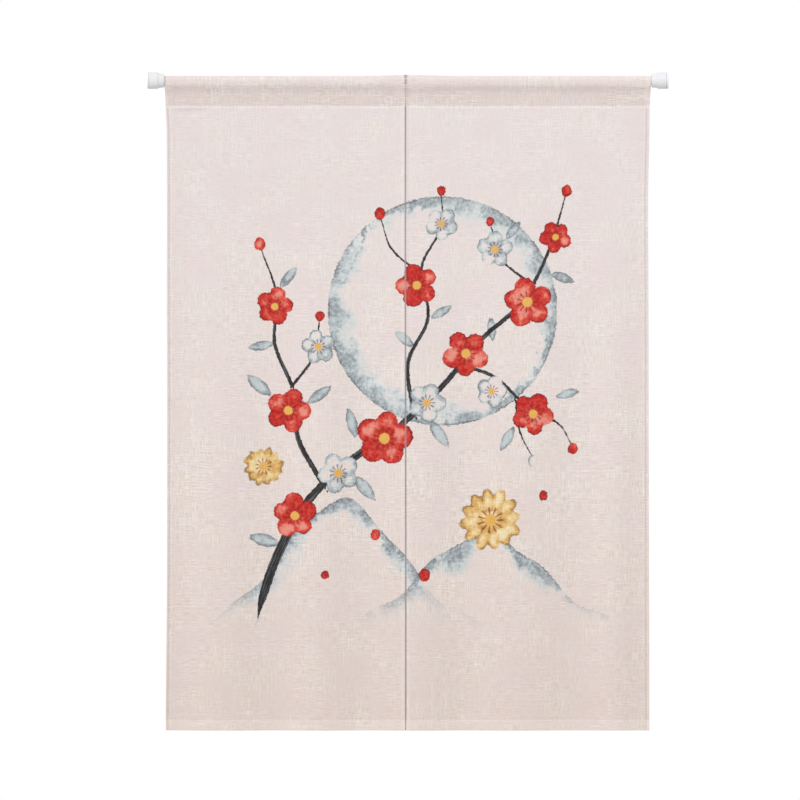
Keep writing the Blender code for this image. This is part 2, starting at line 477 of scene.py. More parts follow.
@dataclass(frozen=True)
class Artwork:
    """A watercolour of a white moon, misty hills and a plum branch in flower, printed over both
    panels. Its places are in metres on the hanging curtain."""

    moon: tuple[float, float, float] = (0.062, -0.412, 0.205)  # x, z, radius
    hills: tuple[tuple[float, float, float], ...] = (
        (-0.120, 0.150, 0.235),  # middle, spread and height of the crest
        (0.135, 0.155, 0.175),
    )
    hill_base: float = -0.985
    blossoms: tuple[Blossom, ...] = (
        Blossom(-0.042, -0.640, 0.052, 10, Pigment.RED),
        Blossom(0.104, -0.488, 0.044, 50, Pigment.RED),
        Blossom(0.214, -0.396, 0.048, 25, Pigment.RED),
        Blossom(-0.214, -0.590, 0.043, 70, Pigment.RED),
        Blossom(0.016, -0.366, 0.041, 35, Pigment.RED),
        Blossom(-0.238, -0.404, 0.035, 5, Pigment.RED),
        Blossom(0.224, -0.596, 0.041, 60, Pigment.RED),
        Blossom(-0.202, -0.778, 0.042, 20, Pigment.RED),
        Blossom(0.264, -0.280, 0.031, 45, Pigment.RED),
        Blossom(0.034, -0.576, 0.036, 65, Pigment.WHITE),
        Blossom(-0.124, -0.702, 0.039, 40, Pigment.WHITE),
        Blossom(0.156, -0.302, 0.034, 15, Pigment.WHITE),
        Blossom(-0.160, -0.476, 0.033, 30, Pigment.WHITE),
        Blossom(0.060, -0.256, 0.031, 55, Pigment.WHITE),
        Blossom(0.150, -0.556, 0.030, 0, Pigment.WHITE),
        Blossom(0.148, -0.786, 0.056, 8, Pigment.GOLD),
        Blossom(-0.258, -0.690, 0.036, 12, Pigment.GOLD),
    )
    buds: tuple[tuple[float, float, float, Pigment], ...] = (
        (0.284, -0.197, 0.0110, Pigment.RED),  # x, z, radius, pigment
        (-0.265, -0.292, 0.0120, Pigment.RED),
        (0.060, -0.197, 0.0095, Pigment.RED),
        (-0.050, -0.238, 0.0115, Pigment.RED),
        (0.295, -0.658, 0.0105, Pigment.RED),
        (0.224, -0.680, 0.0110, Pigment.WHITE),
        (0.147, -0.252, 0.0090, Pigment.RED),
        (-0.157, -0.421, 0.0100, Pigment.RED),
        (-0.058, -0.812, 0.0105, Pigment.RED),
        (0.030, -0.884, 0.0120, Pigment.RED),
        (-0.148, -0.884, 0.0085, Pigment.RED),
        (0.242, -0.742, 0.0095, Pigment.RED),
    )
    leaves: tuple[Leaf, ...] = (
        Leaf(-0.266, -0.545, 0.062, 0.022, 140),
        Leaf(-0.158, -0.562, 0.056, 0.019, 35),
        Leaf(-0.214, -0.352, 0.052, 0.017, 50),
        Leaf(-0.262, -0.474, 0.050, 0.017, 190),
        Leaf(-0.078, -0.728, 0.062, 0.022, -48),
        Leaf(0.056, -0.632, 0.062, 0.021, -55),
        Leaf(-0.100, -0.612, 0.060, 0.019, 105),
        Leaf(0.150, -0.444, 0.046, 0.016, 95),
        Leaf(0.276, -0.352, 0.050, 0.017, -20),
        Leaf(-0.256, -0.822, 0.064, 0.022, 165),
        Leaf(-0.006, -0.462, 0.050, 0.017, 140),
        Leaf(0.060, -0.414, 0.048, 0.016, 30),
        Leaf(0.286, -0.560, 0.048, 0.016, 15),
        Leaf(0.178, -0.640, 0.052, 0.018, -120),
        Leaf(0.188, -0.268, 0.044, 0.015, 50),
    )
    strokes: tuple[tuple[tuple[float, float, float], ...], ...] = (
        (  # x, z and half width of each brush stroke's way points
            (-0.268, -0.958, 0.0010),
            (-0.258, -0.918, 0.0074),
            (-0.232, -0.846, 0.0084),
            (-0.182, -0.756, 0.0074),
            (-0.106, -0.682, 0.0066),
            (-0.020, -0.622, 0.0058),
            (0.062, -0.546, 0.0050),
            (0.130, -0.464, 0.0044),
            (0.204, -0.396, 0.0036),
            (0.252, -0.304, 0.0028),
            (0.282, -0.206, 0.0012),
        ),
        (
            (-0.150, -0.724, 0.0048),
            (-0.196, -0.640, 0.0044),
            (-0.206, -0.552, 0.0038),
            (-0.238, -0.470, 0.0031),
            (-0.234, -0.386, 0.0024),
            (-0.262, -0.302, 0.0011),
        ),
        ((-0.208, -0.548, 0.0028), (-0.168, -0.492, 0.0023), (-0.158, -0.430, 0.0010)),
        (
            (0.012, -0.598, 0.0042),
            (0.000, -0.506, 0.0037),
            (0.036, -0.424, 0.0031),
            (0.024, -0.336, 0.0025),
            (0.060, -0.262, 0.0018),
            (0.060, -0.206, 0.0009),
        ),
        ((0.026, -0.348, 0.0022), (-0.028, -0.302, 0.0018), (-0.048, -0.248, 0.0009)),
        (
            (0.096, -0.508, 0.0036),
            (0.158, -0.532, 0.0031),
            (0.216, -0.586, 0.0026),
            (0.270, -0.614, 0.0017),
            (0.292, -0.650, 0.0008),
        ),
        ((0.192, -0.562, 0.0022), (0.200, -0.626, 0.0017), (0.222, -0.672, 0.0008)),
        ((0.224, -0.366, 0.0024), (0.168, -0.320, 0.0019), (0.149, -0.262, 0.0009)),
    )
    petal_seed: int = 7

    def washes(self, x: Array, z: Array) -> Array:
        """How far inside the moon and the two hills each place is: the moon's radius less the
        distance from its middle, and a bell-shaped crest's height less the place's own.

        Args:
            x: Places along the rod.
            z: Their heights.

        Returns:
            One (moon, hill, hill) row for each place, in metres, above zero inside.
        """
        moon = self.moon[2] - np.hypot(x - self.moon[0], z - self.moon[1])
        hills = [
            self.hill_base
            + height * bump_at((x - middle) / spread)
            + 0.006 * np.sin(x * 61 + 40 * middle)
            - z
            for middle, spread, height in self.hills
        ]
        return np.stack((moon, *hills), axis=-1)

    def petals(self, x: Array, z: Array) -> Array:
        """How far inside a red, white or gold petal each place is. A petal is a disc, or for a
        gold blossom a long lens, and the greatest depth inside any of them counts.

        Args:
            x: Places along the rod.
            z: Their heights.

        Returns:
            One (red, white, gold) row for each place, in metres, above zero inside.
        """
        rng = np.random.default_rng(self.petal_seed)
        inside = np.full((*x.shape, 3), -1.0)
        for blossom in self.blossoms:
            gold = blossom.pigment is Pigment.GOLD
            count = 12 if gold else 5
            reach = blossom.radius * (0.62 if gold else 0.56) * rng.uniform(0.94, 1.06, count)
            size = blossom.radius * (0.20 if gold else 0.40) * rng.uniform(0.90, 1.10, count)
            turns = np.radians(blossom.turn) + 2 * np.pi * (
                np.arange(count) + rng.uniform(-0.06, 0.06, count)
            ) / count
            for far, radius, turn in zip(reach, size, turns):
                dx = x - blossom.x
                dz = z - blossom.z
                along = dx * np.cos(turn) + dz * np.sin(turn) - far
                aside = dz * np.cos(turn) - dx * np.sin(turn)
                slim = 0.52 if gold else 1.0
                depth = radius - np.hypot(along * slim, aside)
                layer = inside[..., blossom.pigment.value]
                np.maximum(layer, depth, out=layer)
            np.maximum(layer, blossom.radius * 0.34 - np.hypot(dx, dz), out=layer)
        for bud_x, bud_z, radius, pigment in self.buds:
            layer = inside[..., pigment.value]
            np.maximum(layer, radius - np.hypot((x - bud_x) * 1.15, z - bud_z), out=layer)
        return inside

    def foliage(self, x: Array, z: Array) -> Array:
        """How far inside a leaf each place is: a leaf's half width falls off as one less the
        square of the place along it.

        Args:
            x: Places along the rod.
            z: Their heights.

        Returns:
            One (depth inside, place along the leaf from -1 to 1, place across it) row each.
        """
        found = np.zeros((*x.shape, 3))
        found[..., 0] = -1.0
        for leaf in self.leaves:
            turn = math.radians(leaf.turn)
            dx, dz = x - leaf.x, z - leaf.z
            along = (dx * math.cos(turn) + dz * math.sin(turn)) / (leaf.length / 2)
            across = dz * math.cos(turn) - dx * math.sin(turn)
            half = leaf.width / 2 * (1 - along * along)
            tip = np.maximum(np.abs(along) - 1, 0) * leaf.length / 2
            depth = np.where(tip > 0, -np.hypot(tip, across), half - np.abs(across))
            nearer = depth > found[..., 0]
            row = np.stack((depth, along, across / leaf.width), axis=-1)
            found[nearer] = row[nearer]
        return found

    def brush_paths(self) -> list[Array]:
        """Smooths each stroke's way points into a curve, by a cubic through every four of them.

        Returns:
            For each stroke, rows of x, z, half width and length from its start.
        """
        paths = []
        for stroke in self.strokes:
            knots = np.array(stroke)
            knots = np.vstack((2 * knots[0] - knots[1], knots, 2 * knots[-1] - knots[-2]))
            a, b, c, d = (knots[k : len(knots) - 3 + k, None] for k in range(4))
            t = np.linspace(0, 1, 16, endpoint=False)[None, :, None]
            curve = b + 0.5 * t * (
                c - a + t * (2 * a - 5 * b + 4 * c - d + t * (3 * (b - c) + d - a))
            )
            rows = np.vstack((curve.reshape(-1, 3), knots[-2]))
            run = np.concatenate(([0.0], np.cumsum(np.hypot(*np.diff(rows[:, :2], axis=0).T))))
            paths.append(np.column_stack((rows, run)))
        return paths

    def brush_places(self, corners: Array) -> Array:
        """Where each face's corners lie on the stroke that is nearest to the face.

        A corner's place is its run along the stroke and its distance to the left of it, worked
        out from the nearest point of the curve and its direction there.

        Args:
            corners: The (x, z) corners of each face, faces by corners by two.

        Returns:
            The (along, across, half width) of each corner; all zero off the strokes.
        """
        centres = corners.mean(axis=1)
        nearest = np.full(len(centres), 0.014)
        found = np.zeros((*corners.shape[:2], 3))
        for path in self.brush_paths():
            low = path[:, :2].min(axis=0) - 0.03
            high = path[:, :2].max(axis=0) + 0.03
            close = np.flatnonzero(np.all((centres > low) & (centres < high), axis=1))
            away = np.hypot(*(centres[close, None] - path[None, :, :2]).transpose(2, 0, 1))
            gap = (away - path[:, 2]).min(axis=1)
            chosen = close[gap < nearest[close]]
            nearest[close] = np.minimum(nearest[close], gap)
            spots = corners[chosen]
            away = np.hypot(*(spots[:, :, None] - path[None, None, :, :2]).transpose(3, 0, 1, 2))
            at = away.argmin(axis=2)
            heading = np.gradient(path[:, :2], axis=0)
            heading /= np.linalg.norm(heading, axis=1, keepdims=True)
            offset = spots - path[at][..., :2]
            ahead = heading[at]
            along = path[at][..., 3] + (offset * ahead).sum(axis=-1)
            across = ahead[..., 0] * offset[..., 1] - ahead[..., 1] * offset[..., 0]
            past = (offset * ahead).sum(axis=-1)
            beyond = np.where(at == 0, np.maximum(-past, 0), 0)
            beyond = beyond + np.where(at == len(path) - 1, np.maximum(past, 0), 0)
            across = np.where(across < 0, -1.0, 1.0) * np.hypot(across, beyond)
            found[chosen] = np.stack((along, across, path[at][..., 2]), axis=-1)
        return found

    def heart_places(self, corners: Array) -> Array:
        """Where each face's corners lie from the middle of the blossom that holds the face.

        Args:
            corners: The (x, z) corners of each face, faces by corners by two.

        Returns:
            The (right, up, radius) of each corner; all zero outside the blossoms' middles.
        """
        centres = corners.mean(axis=1)
        found = np.zeros((*corners.shape[:2], 3))
        for blossom in self.blossoms:
            middle = np.array((blossom.x, blossom.z))
            held = np.linalg.norm(centres - middle, axis=1) < blossom.radius * 0.75
            found[held, :, :2] = corners[held] - middle
            found[held, :, 2] = blossom.radius
        return found


# ---------------------------------------------------------------- finishes


@dataclass(frozen=True)
class Wash:
    """One watercolour wash: its colours, and how its pigment pools along the edge. A wash with
    no fill leaves the cloth bare inside, as white shapes are left in watercolour."""

    fill: str | None
    pale: str
    shade: str
    rim: str
    reach: float  # metres in from the edge over which the pigment thins out
    drift: float  # metres by which its inner border wanders
    rim_width: float
    ragged: float  # how much the outline wanders, 1 for a few millimetres
    sweep: float = 0.0  # how far long stretches of the edge stay nearly free of pigment


@dataclass(frozen=True)
class PrintedLinen:
    """Plain-woven linen-look polyester, printed by heat transfer: a matte cloth with thick and
    thin threads both ways, which show as short pale and dark slubs, and soft watercolour washes
    that the weave shows through.

    Real threads lie about 0.5 mm apart, too fine to show at 1.8 mm a pixel, so threads and
    slubs are drawn 1.5 to 1.9 mm wide; their lengths are the real ones."""

    ground: str = "#d8cfce"
    warm: str = "#dbc9bd"
    thread_width: float = 0.0015
    thread_length: float = 0.016
    thread_strength: float = 0.064
    dash_width: float = 0.0017
    dash_length: float = 0.014
    dash_strength: float = 0.058
    slub_width: float = 0.0019
    slub_length: float = 0.100
    slub_strength: float = 0.058
    warp_share: float = 0.95  # strength of the upright threads
    weft_share: float = 1.05  # and of the level ones
    pocket_share: float = 1.80  # and of both on the pocket, where the cloth lies double
    patch_scale: float = 15.0
    roughness: float = 0.92
    ink: str = "#2a2727"
    dry_ink: str = "#6a6e74"
    stamen: str = "#7c2620"
    pollen: str = "#d8a756"
    # Painted light and shade, as factors on the cloth's tone: hem_groove_shade is painted shade in the
    # groove along the outer hems' stitching; hem_light and foot_light are painted light on the flat
    # side and bottom hems and the strips beside the slit; foot_shade and middle_light paint shade
    # towards the foot and light in the middle; edge_shade paints shade near the outer hems;
    # turned_shade paints shade beside the slit; seam_light paints light from just under the pocket's
    # seam upwards; pocket_shade paints shade on the double pocket, which lets less light through;
    # pocket_painted_warmth warms it for the light that comes through two layers; crown_light paints
    # light over the white rod.
    hem_groove_shade: float = 0.89
    hem_light: float = 1.035
    foot_light: float = 1.060
    foot_shade: float = 0.970
    middle_light: float = 1.011
    edge_shade: float = 0.988
    turned_shade: float = 0.935  # beside the slit on the right, where the edge is turned in
    seam_light: float = 1.034
    pocket_shade: float = 0.866
    pocket_painted_warmth: float = 0.15
    tint_scale: float = 15.0
    tint_share: float = 0.075
    crown_light: float = 1.110
    cut: ClothShape = ClothShape()
    white: Wash = Wash(None, "#c5caca", "#999fa3", "#686f73", 0.013, 0.012, 0.0016, 0.8, 0.5)
    red: Wash = Wash("#dc8a7a", "#cb4d41", "#b21d1a", "#641a1d", 0.024, 0.034, 0.0020, 0.8)
    gold: Wash = Wash("#e3d2aa", "#dcbd85", "#c99a52", "#866438", 0.012, 0.014, 0.0020, 0.6)
    leaf: Wash = Wash("#b9c0c1", "#a6adb0", "#81888d", "#5e656a", 0.008, 0.010, 0.0014, 0.7)
    moon: Wash = Wash(None, "#c4caca", "#8d9498", "#60676b", 0.054, 0.042, 0.0024, 1.2, 0.85)
    hill: Wash = Wash(None, "#c2c8c9", "#848b90", "#585f64", 0.064, 0.046, 0.0024, 1.4, 0.6)

    def make(self) -> bpy.types.Material:
        """Builds the material.

        Returns:
            The material, which reads the cloth's attributes weave, washes, petals, foliage,
            brush and heart.
        """
        material, tree, shader = new_material("Printed_slub_linen_weave")
        weave = add_node(tree, "ShaderNodeAttribute", attribute_name="weave").outputs["Vector"]
        tone, height = self.weave_tone(tree, weave)
        tone = self.layer_tone(tree, weave, tone)
        noises = self.paint_noises(tree, weave)
        ground = self.bare_cloth(tree, weave, noises)
        painted = self.artwork(tree, ground, noises)
        front = add_node(tree, "ShaderNodeSeparateXYZ", {0: weave}).outputs["Z"]
        # The print shows through to the back at about a third of its strength.
        strength = add_node(tree, "ShaderNodeMapRange", {"Value": front, "To Min": 0.34})
        printed = add_node(
            tree, "ShaderNodeMix", {0: strength, 6: ground, 7: painted}, data_type="RGBA"
        ).outputs[2]
        # Pale threads are greyer than the cloth and dark ones warmer: the tone's departure from
        # one is smaller for red and larger for blue.
        evened = {0: tone, 1: (0.86, 1.05, 1.12), 2: (0.14, -0.05, -0.12)}
        shares = add_node(tree, "ShaderNodeVectorMath", evened, operation="MULTIPLY_ADD")
        toned = add_node(
            tree, "ShaderNodeVectorMath", {0: printed, 1: shares}, operation="MULTIPLY"
        )
        bump = add_node(
            tree, "ShaderNodeBump", {"Height": height, "Strength": 0.35, "Distance": 0.0005}
        )
        tree.links.new(toned.outputs[0], shader.inputs["Base Color"])
        tree.links.new(bump.outputs[0], shader.inputs["Normal"])
        shader.inputs["Roughness"].default_value = self.roughness
        shader.inputs["Sheen Weight"].default_value = 0.12
        shader.inputs["Sheen Roughness"].default_value = 0.5
        shader.inputs["Specular IOR Level"].default_value = 0.25
        return material

    def weave_tone(
        self, tree: bpy.types.NodeTree, weave: bpy.types.NodeSocket
    ) -> tuple[bpy.types.NodeSocket, bpy.types.NodeSocket]:
        """Slubs and threads both ways, from noise drawn out along the threads.

        Args:
            tree: The material's tree.
            weave: Place on the cloth, across and along, in metres.

        Returns:
            The tone that the colour is multiplied by, about 1, and the weave's height.
        """
        thread, dash, slub = self.thread_strength, self.dash_strength, self.slub_strength
        # Width, length, the noise that counts and the tone that it gives. Threads take the noise
        # as it is; dashes and slubs only its peaks, so they lie apart.
        kinds = (
            (self.thread_width, self.thread_length, 0.0, 1.0, -thread / 2, thread / 2),
            (self.dash_width, self.dash_length, 0.58, 0.64, 0.0, dash),
            (self.dash_width, self.dash_length, 0.42, 0.36, 0.0, -dash),
            (self.slub_width, self.slub_length, 0.60, 0.66, 0.0, slub),
        )
        # The slubs come in patches, which differ between the two ways of the threads.
        patches = add_node(
            tree,
            "ShaderNodeTexNoise",
            {"Vector": weave, "Scale": self.patch_scale, "Detail": 1.0},
            noise_dimensions="2D",
        )
        patchy = add_node(tree, "ShaderNodeSeparateColor", {0: patches.outputs["Color"]})
        total = None
        for number, share in enumerate((self.warp_share, self.weft_share)):
            run = None
            for wide, long, low, high, least, most in kinds:
                scale = (1 / wide, 1 / long, 0.0) if number == 0 else (1 / long, 1 / wide, 0.0)
                space = add_node(tree, "ShaderNodeMapping", {"Vector": weave, "Scale": scale})
                noise = add_node(
                    tree,
                    "ShaderNodeTexNoise",
                    {"Vector": space, "Scale": 1.0, "Detail": 0.3, "Roughness": 0.5},
                    noise_dimensions="2D",
                )
                inputs = {
                    "Value": noise.outputs[0],
                    "From Min": low,
                    "From Max": high,
                    "To Min": least * share,
                    "To Max": most * share,
                }
                part = add_node(tree, "ShaderNodeMapRange", inputs)
                if run is not None:
                    part = add_node(tree, "ShaderNodeMath", {0: part, 1: run}, operation="ADD")
                run = part
            inputs = {
                "Value": patchy.outputs[number],
                "From Min": 0.35,
                "From Max": 0.65,
                "To Min": 0.45,
                "To Max": 1.45,
            }
            shown = add_node(tree, "ShaderNodeMapRange", inputs)
            if total is None:
                total = add_node(tree, "ShaderNodeMath", {0: run, 1: shown}, operation="MULTIPLY")
            else:
                total = add_node(
                    tree, "ShaderNodeMath", {0: run, 1: shown, 2: total}, operation="MULTIPLY_ADD"
                )
        # They show most below the middle, and less again on the crown of the pocket.
        up = add_node(tree, "ShaderNodeSeparateXYZ", {0: weave}).outputs["Y"]
        seam, crown = self.cut.seam_at, self.cut.crown_at
        for start, end, first, last in (
            (0.10, 0.32, 0.76, 1.0),
            (0.45, 1.0, 0.82, 0.48),
            (seam - 0.001, seam + 0.001, 1.0, self.pocket_share),
            (crown - 0.004, crown + 0.002, 1.0, 0.80),
        ):
            inputs = {
                "Value": up, "From Min": start, "From Max": end, "To Min": first, "To Max": last
            }  # fmt: skip
            less = add_node(tree, "ShaderNodeMapRange", inputs)
            total = add_node(tree, "ShaderNodeMath", {0: total, 1: less}, operation="MULTIPLY")
        tone = add_node(tree, "ShaderNodeMath", {0: total, 1: 1.0}, operation="ADD")
        return tone.outputs[0], total.outputs[0]

    def layer_tone(
        self,
        tree: bpy.types.NodeTree,
        weave: bpy.types.NodeSocket,
        tone: bpy.types.NodeSocket,
    ) -> bpy.types.NodeSocket:
        """Paints light and shade into the tone where the cloth lies double or is folded: painted shade
        on the pocket, which lets less light through, and painted light over the white rod; painted
        light on the flat hems, the pressed strips beside the slit and from just under the seam upwards;
        and painted shade in the groove along the stitching of the outer hems, beside the slit on the
        right, near the outer hems and towards the foot.

        Args:
            tree: The material's tree.
            weave: Place on the cloth, in metres.
            tone: The weave's tone.

        Returns:
            The tone with these changes.
        """
        cut = self.cut
        parts = add_node(tree, "ShaderNodeSeparateXYZ", {0: weave}).outputs
        left = cut.panel_width(Side.LEFT)
        whole = left + cut.panel_width(Side.RIGHT)
        rest = add_node(tree, "ShaderNodeMath", {0: whole, 1: parts["X"]}, operation="SUBTRACT")
        side = add_node(tree, "ShaderNodeMath", {0: rest, 1: parts["X"]}, operation="MINIMUM")
        # The painted shade of the left stitching groove lies nearer its edge, and neither goes on above
        # the pocket's seam.
        shift = cut.right_stitch - cut.left_stitch
        moved = add_node(tree, "ShaderNodeMath", {0: parts["X"], 1: shift}, operation="ADD")
        inputs = {"Value": parts["Y"], "From Min": 0.10, "From Max": 0.65, "To Min": 0.0011}
        drawn = add_node(tree, "ShaderNodeMapRange", {**inputs, "To Max": 0.0})
        inward = add_node(tree, "ShaderNodeMath", {0: rest, 1: drawn}, operation="SUBTRACT")
        nearer = add_node(tree, "ShaderNodeMath", {0: inward, 1: moved}, operation="MINIMUM")
        above = add_node(
            tree, "ShaderNodeMath", {0: parts["Y"], 1: cut.seam_at}, operation="GREATER_THAN"
        )
        line = add_node(tree, "ShaderNodeMath", {0: nearer, 1: above}, operation="ADD")
        away = add_node(tree, "ShaderNodeMath", {0: parts["X"], 1: left}, operation="SUBTRACT")
        slit = add_node(tree, "ShaderNodeMath", {0: away}, operation="ABSOLUTE")
        low = add_node(tree, "ShaderNodeMath", {0: parts["Y"], 1: 0.70}, operation="LESS_THAN")
        turned = add_node(tree, "ShaderNodeMath", {0: away, 1: low}, operation="ADD")
        # Each band multiplies the tone: below 1 it is painted shade, above 1 painted light.
        bands = (
            (line, cut.right_stitch - 0.0034, cut.right_stitch - 0.0014, 1.0, self.hem_groove_shade),
            (line, cut.right_stitch + 0.0008, cut.right_stitch + 0.0020, 1.0, 1 / self.hem_groove_shade),
            (side, cut.side_hem + 0.0010, cut.side_hem + 0.0024, self.hem_light, 1.0),
            (parts["Y"], cut.bottom_hem, cut.bottom_hem + 0.0008, self.foot_light, 1.0),
            (parts["Y"], 0.05, 0.60, self.foot_shade, self.middle_light),
            (side, 0.012, 0.050, self.edge_shade, 1.0),
            (turned, 0.0004, 0.0010, 1.0, self.turned_shade),
            (turned, 0.0056, 0.0068, 1.0, 1 / self.turned_shade),
            (slit, cut.side_hem - 0.0010, cut.side_hem + 0.0010, self.hem_light, 1.0),
            (parts["Y"], cut.seam_at - 0.0044, cut.seam_at - 0.0030, 1.0, self.seam_light),
            (parts["Y"], cut.seam_at + 0.0004, cut.seam_at + 0.0034, 1.0, self.pocket_shade),
            (parts["Y"], cut.crown_at - 0.0040, cut.crown_at + 0.0020, 1.0, self.crown_light),
        )
        for place, start, end, first, last in bands:
            band = add_node(
                tree,
                "ShaderNodeMapRange",
                {"Value": place, "From Min": start, "From Max": end, "To Min": first, "To Max": last},
            )
            tone = add_node(tree, "ShaderNodeMath", {0: tone, 1: band}, operation="MULTIPLY").outputs[0]
        return tone

    def paint_noises(
        self, tree: bpy.types.NodeTree, weave: bpy.types.NodeSocket
    ) -> tuple[bpy.types.NodeSocket, ...]:
        """Noise at four sizes: sweeps of 140 mm, pools of pigment of 40 mm, its grain of 7 mm and
        ragged edges.

        Args:
            tree: The material's tree.
            weave: Place on the cloth, in metres.

        Returns:
            The sweeps, pools and grain, each about 0.5, and the outline's wander in metres.
        """
        flat = add_node(tree, "ShaderNodeVectorMath", {0: weave, 1: (1, 1, 0)}, operation="MULTIPLY")
        sweeps, pools, grain, specks = (
            add_node(
                tree,
                "ShaderNodeTexNoise",
                {"Vector": flat, "Scale": scale, "Detail": detail, "Roughness": 0.62},
                noise_dimensions="2D",
            ).outputs[0]
            for scale, detail in ((7.0, 1.0), (26.0, 3.0), (150.0, 5.0), (520.0, 2.0))
        )
        coarse = add_node(
            tree, "ShaderNodeMath", {0: grain, 1: 0.0075, 2: -0.00375}, operation="MULTIPLY_ADD"
        )
        ragged = add_node(
            tree, "ShaderNodeMath", {0: specks, 1: 0.0030, 2: coarse}, operation="MULTIPLY_ADD"
        )
        centred = add_node(tree, "ShaderNodeMath", {0: ragged, 1: 0.0015}, operation="SUBTRACT")
        return sweeps, pools, grain, centred.outputs[0]

    def bare_cloth(
        self,
        tree: bpy.types.NodeTree,
        weave: bpy.types.NodeSocket,
        noises: tuple[bpy.types.NodeSocket, ...],
    ) -> bpy.types.NodeSocket:
        """The unprinted ground, which drifts between pinkish, warm and greenish in soft blotches,
        and is warmer towards the foot, and warmer where the pocket lies double, a painted warmth for
        the light that comes through two layers.

        Args:
            tree: The material's tree.
            weave: Place on the cloth, in metres.
            noises: What paint_noises returned.

        Returns:
            The ground's colour.
        """
        up = add_node(tree, "ShaderNodeSeparateXYZ", {0: weave}).outputs["Y"]
        low = add_node(
            tree,
            "ShaderNodeMapRange",
            {"Value": up, "From Max": self.cut.seam_at, "To Min": 0.58, "To Max": 0.18},
        )
        seam = self.cut.seam_at
        inputs = {"Value": up, "From Min": seam, "From Max": seam + 0.001}
        # Painted warmth on the double pocket, for the light that comes through two layers.
        pocket = add_node(tree, "ShaderNodeMapRange", {**inputs, "To Max": self.pocket_painted_warmth})
        low = add_node(tree, "ShaderNodeMath", {0: low, 1: pocket}, operation="ADD")
        blotches = add_node(
            tree, "ShaderNodeMath", {0: noises[1], 1: 0.5, 2: -0.25}, operation="MULTIPLY_ADD"
        )
        specks = add_node(
            tree, "ShaderNodeMath", {0: noises[2], 1: 0.14, 2: -0.07}, operation="MULTIPLY_ADD"
        )
        drift = add_node(tree, "ShaderNodeMath", {0: blotches, 1: specks}, operation="ADD")
        share = add_node(
            tree, "ShaderNodeMath", {0: drift, 1: low}, operation="ADD", use_clamp=True
        )
        colour = add_node(
            tree,
            "ShaderNodeMix",
            {0: share, 6: hex_to_linear(self.ground), 7: hex_to_linear(self.warm)},
            data_type="RGBA",
        ).outputs[2]
        inputs = {"Vector": weave, "Scale": self.tint_scale, "Detail": 2.0}
        tint = add_node(tree, "ShaderNodeTexNoise", inputs, noise_dimensions="2D").outputs[0]
        # A little more or less green.
        inputs = {0: tint, 1: (0, self.tint_share, 0), 2: (1, 1 - self.tint_share / 2, 1)}
        drifted = add_node(tree, "ShaderNodeVectorMath", inputs, operation="MULTIPLY_ADD")
        return add_node(
            tree, "ShaderNodeVectorMath", {0: colour, 1: drifted}, operation="MULTIPLY"
        ).outputs[0]

    def lay(
        self,
        tree: bpy.types.NodeTree,
        under: bpy.types.NodeSocket,
        depth: bpy.types.NodeSocket,
        wash: Wash,
        noises: tuple[bpy.types.NodeSocket, ...],
        bare: bpy.types.NodeSocket,
        fade: bpy.types.NodeSocket | float = 1.0,
    ) -> bpy.types.NodeSocket:
        """Lays one wash over what is there: its fill, granular pigment that pools along the edge
        and deepens towards it, and a thin broken rim where the paint dried.

        Args:
            tree: The material's tree.
            under: The colour so far.
            depth: How far inside the motif each place is, in metres.
            wash: The wash.
            noises: What paint_noises returned.
            bare: The bare cloth's colour.
            fade: Holds the wash back where it is below 1.

        Returns:
            The colour with the wash on it.
        """
        sweeps, pools, grain, ragged = noises

        def ranged(value: object, ends: tuple[float, ...], smooth: bool = False) -> object:
            """Maps a value from the first two ends to the last two."""
            names = ("From Min", "From Max", "To Min", "To Max")
            kind = "SMOOTHSTEP" if smooth else "LINEAR"
            inputs = {"Value": value, **dict(zip(names, ends))}
            return add_node(tree, "ShaderNodeMapRange", inputs, interpolation_type=kind)

        def sum_of(value: object, factor: object, extra: object) -> object:
            """Multiplies a value and adds to it."""
            inputs = {0: value, 1: factor, 2: extra}
            return add_node(tree, "ShaderNodeMath", inputs, operation="MULTIPLY_ADD")

        def mixed(share: object, first: object, second: object) -> bpy.types.NodeSocket:
            """Mixes two colours."""
            inputs = {0: share, 6: first, 7: second}
            return add_node(tree, "ShaderNodeMix", inputs, data_type="RGBA").outputs[2]

        edge = sum_of(ragged, wash.ragged, depth)
        cover = ranged(edge, (-0.0007, 0.0009, 0.0, 1.0), True)
        wander = sum_of(pools, wash.drift * 2, -wash.drift)
        inner = add_node(tree, "ShaderNodeMath", {0: edge, 1: wander}, operation="ADD")
        spread = ranged(sweeps, (0.40, 0.58, wash.reach * (1 - wash.sweep), wash.reach))
        share = add_node(tree, "ShaderNodeMath", {0: inner, 1: spread}, operation="DIVIDE")
        pooled = ranged(share, (0.0, 1.0, 1.0, 0.0), True)
        granular = ranged(grain, (0.34, 0.64, 1.12, 0.66))
        amount = add_node(
            tree, "ShaderNodeMath", {0: pooled, 1: granular}, operation="MULTIPLY", use_clamp=True
        )
        dried = ranged(edge, (wash.rim_width * 0.5, wash.rim_width * 1.8, 0.85, 0.0), True)
        broken = ranged(pools, (0.60, 0.44, 0.0, 1.0))
        rim = add_node(tree, "ShaderNodeMath", {0: dried, 1: broken}, operation="MULTIPLY")
        fill = bare if wash.fill is None else hex_to_linear(wash.fill)
        thin = mixed(ranged(amount, (0.0, 0.45, 0.0, 1.0)), fill, hex_to_linear(wash.pale))
        deep = mixed(ranged(amount, (0.40, 1.0, 0.0, 1.0)), thin, hex_to_linear(wash.shade))
        edged = mixed(rim, deep, hex_to_linear(wash.rim))
        mask = add_node(tree, "ShaderNodeMath", {0: cover, 1: fade}, operation="MULTIPLY")
        return mixed(mask, under, edged)

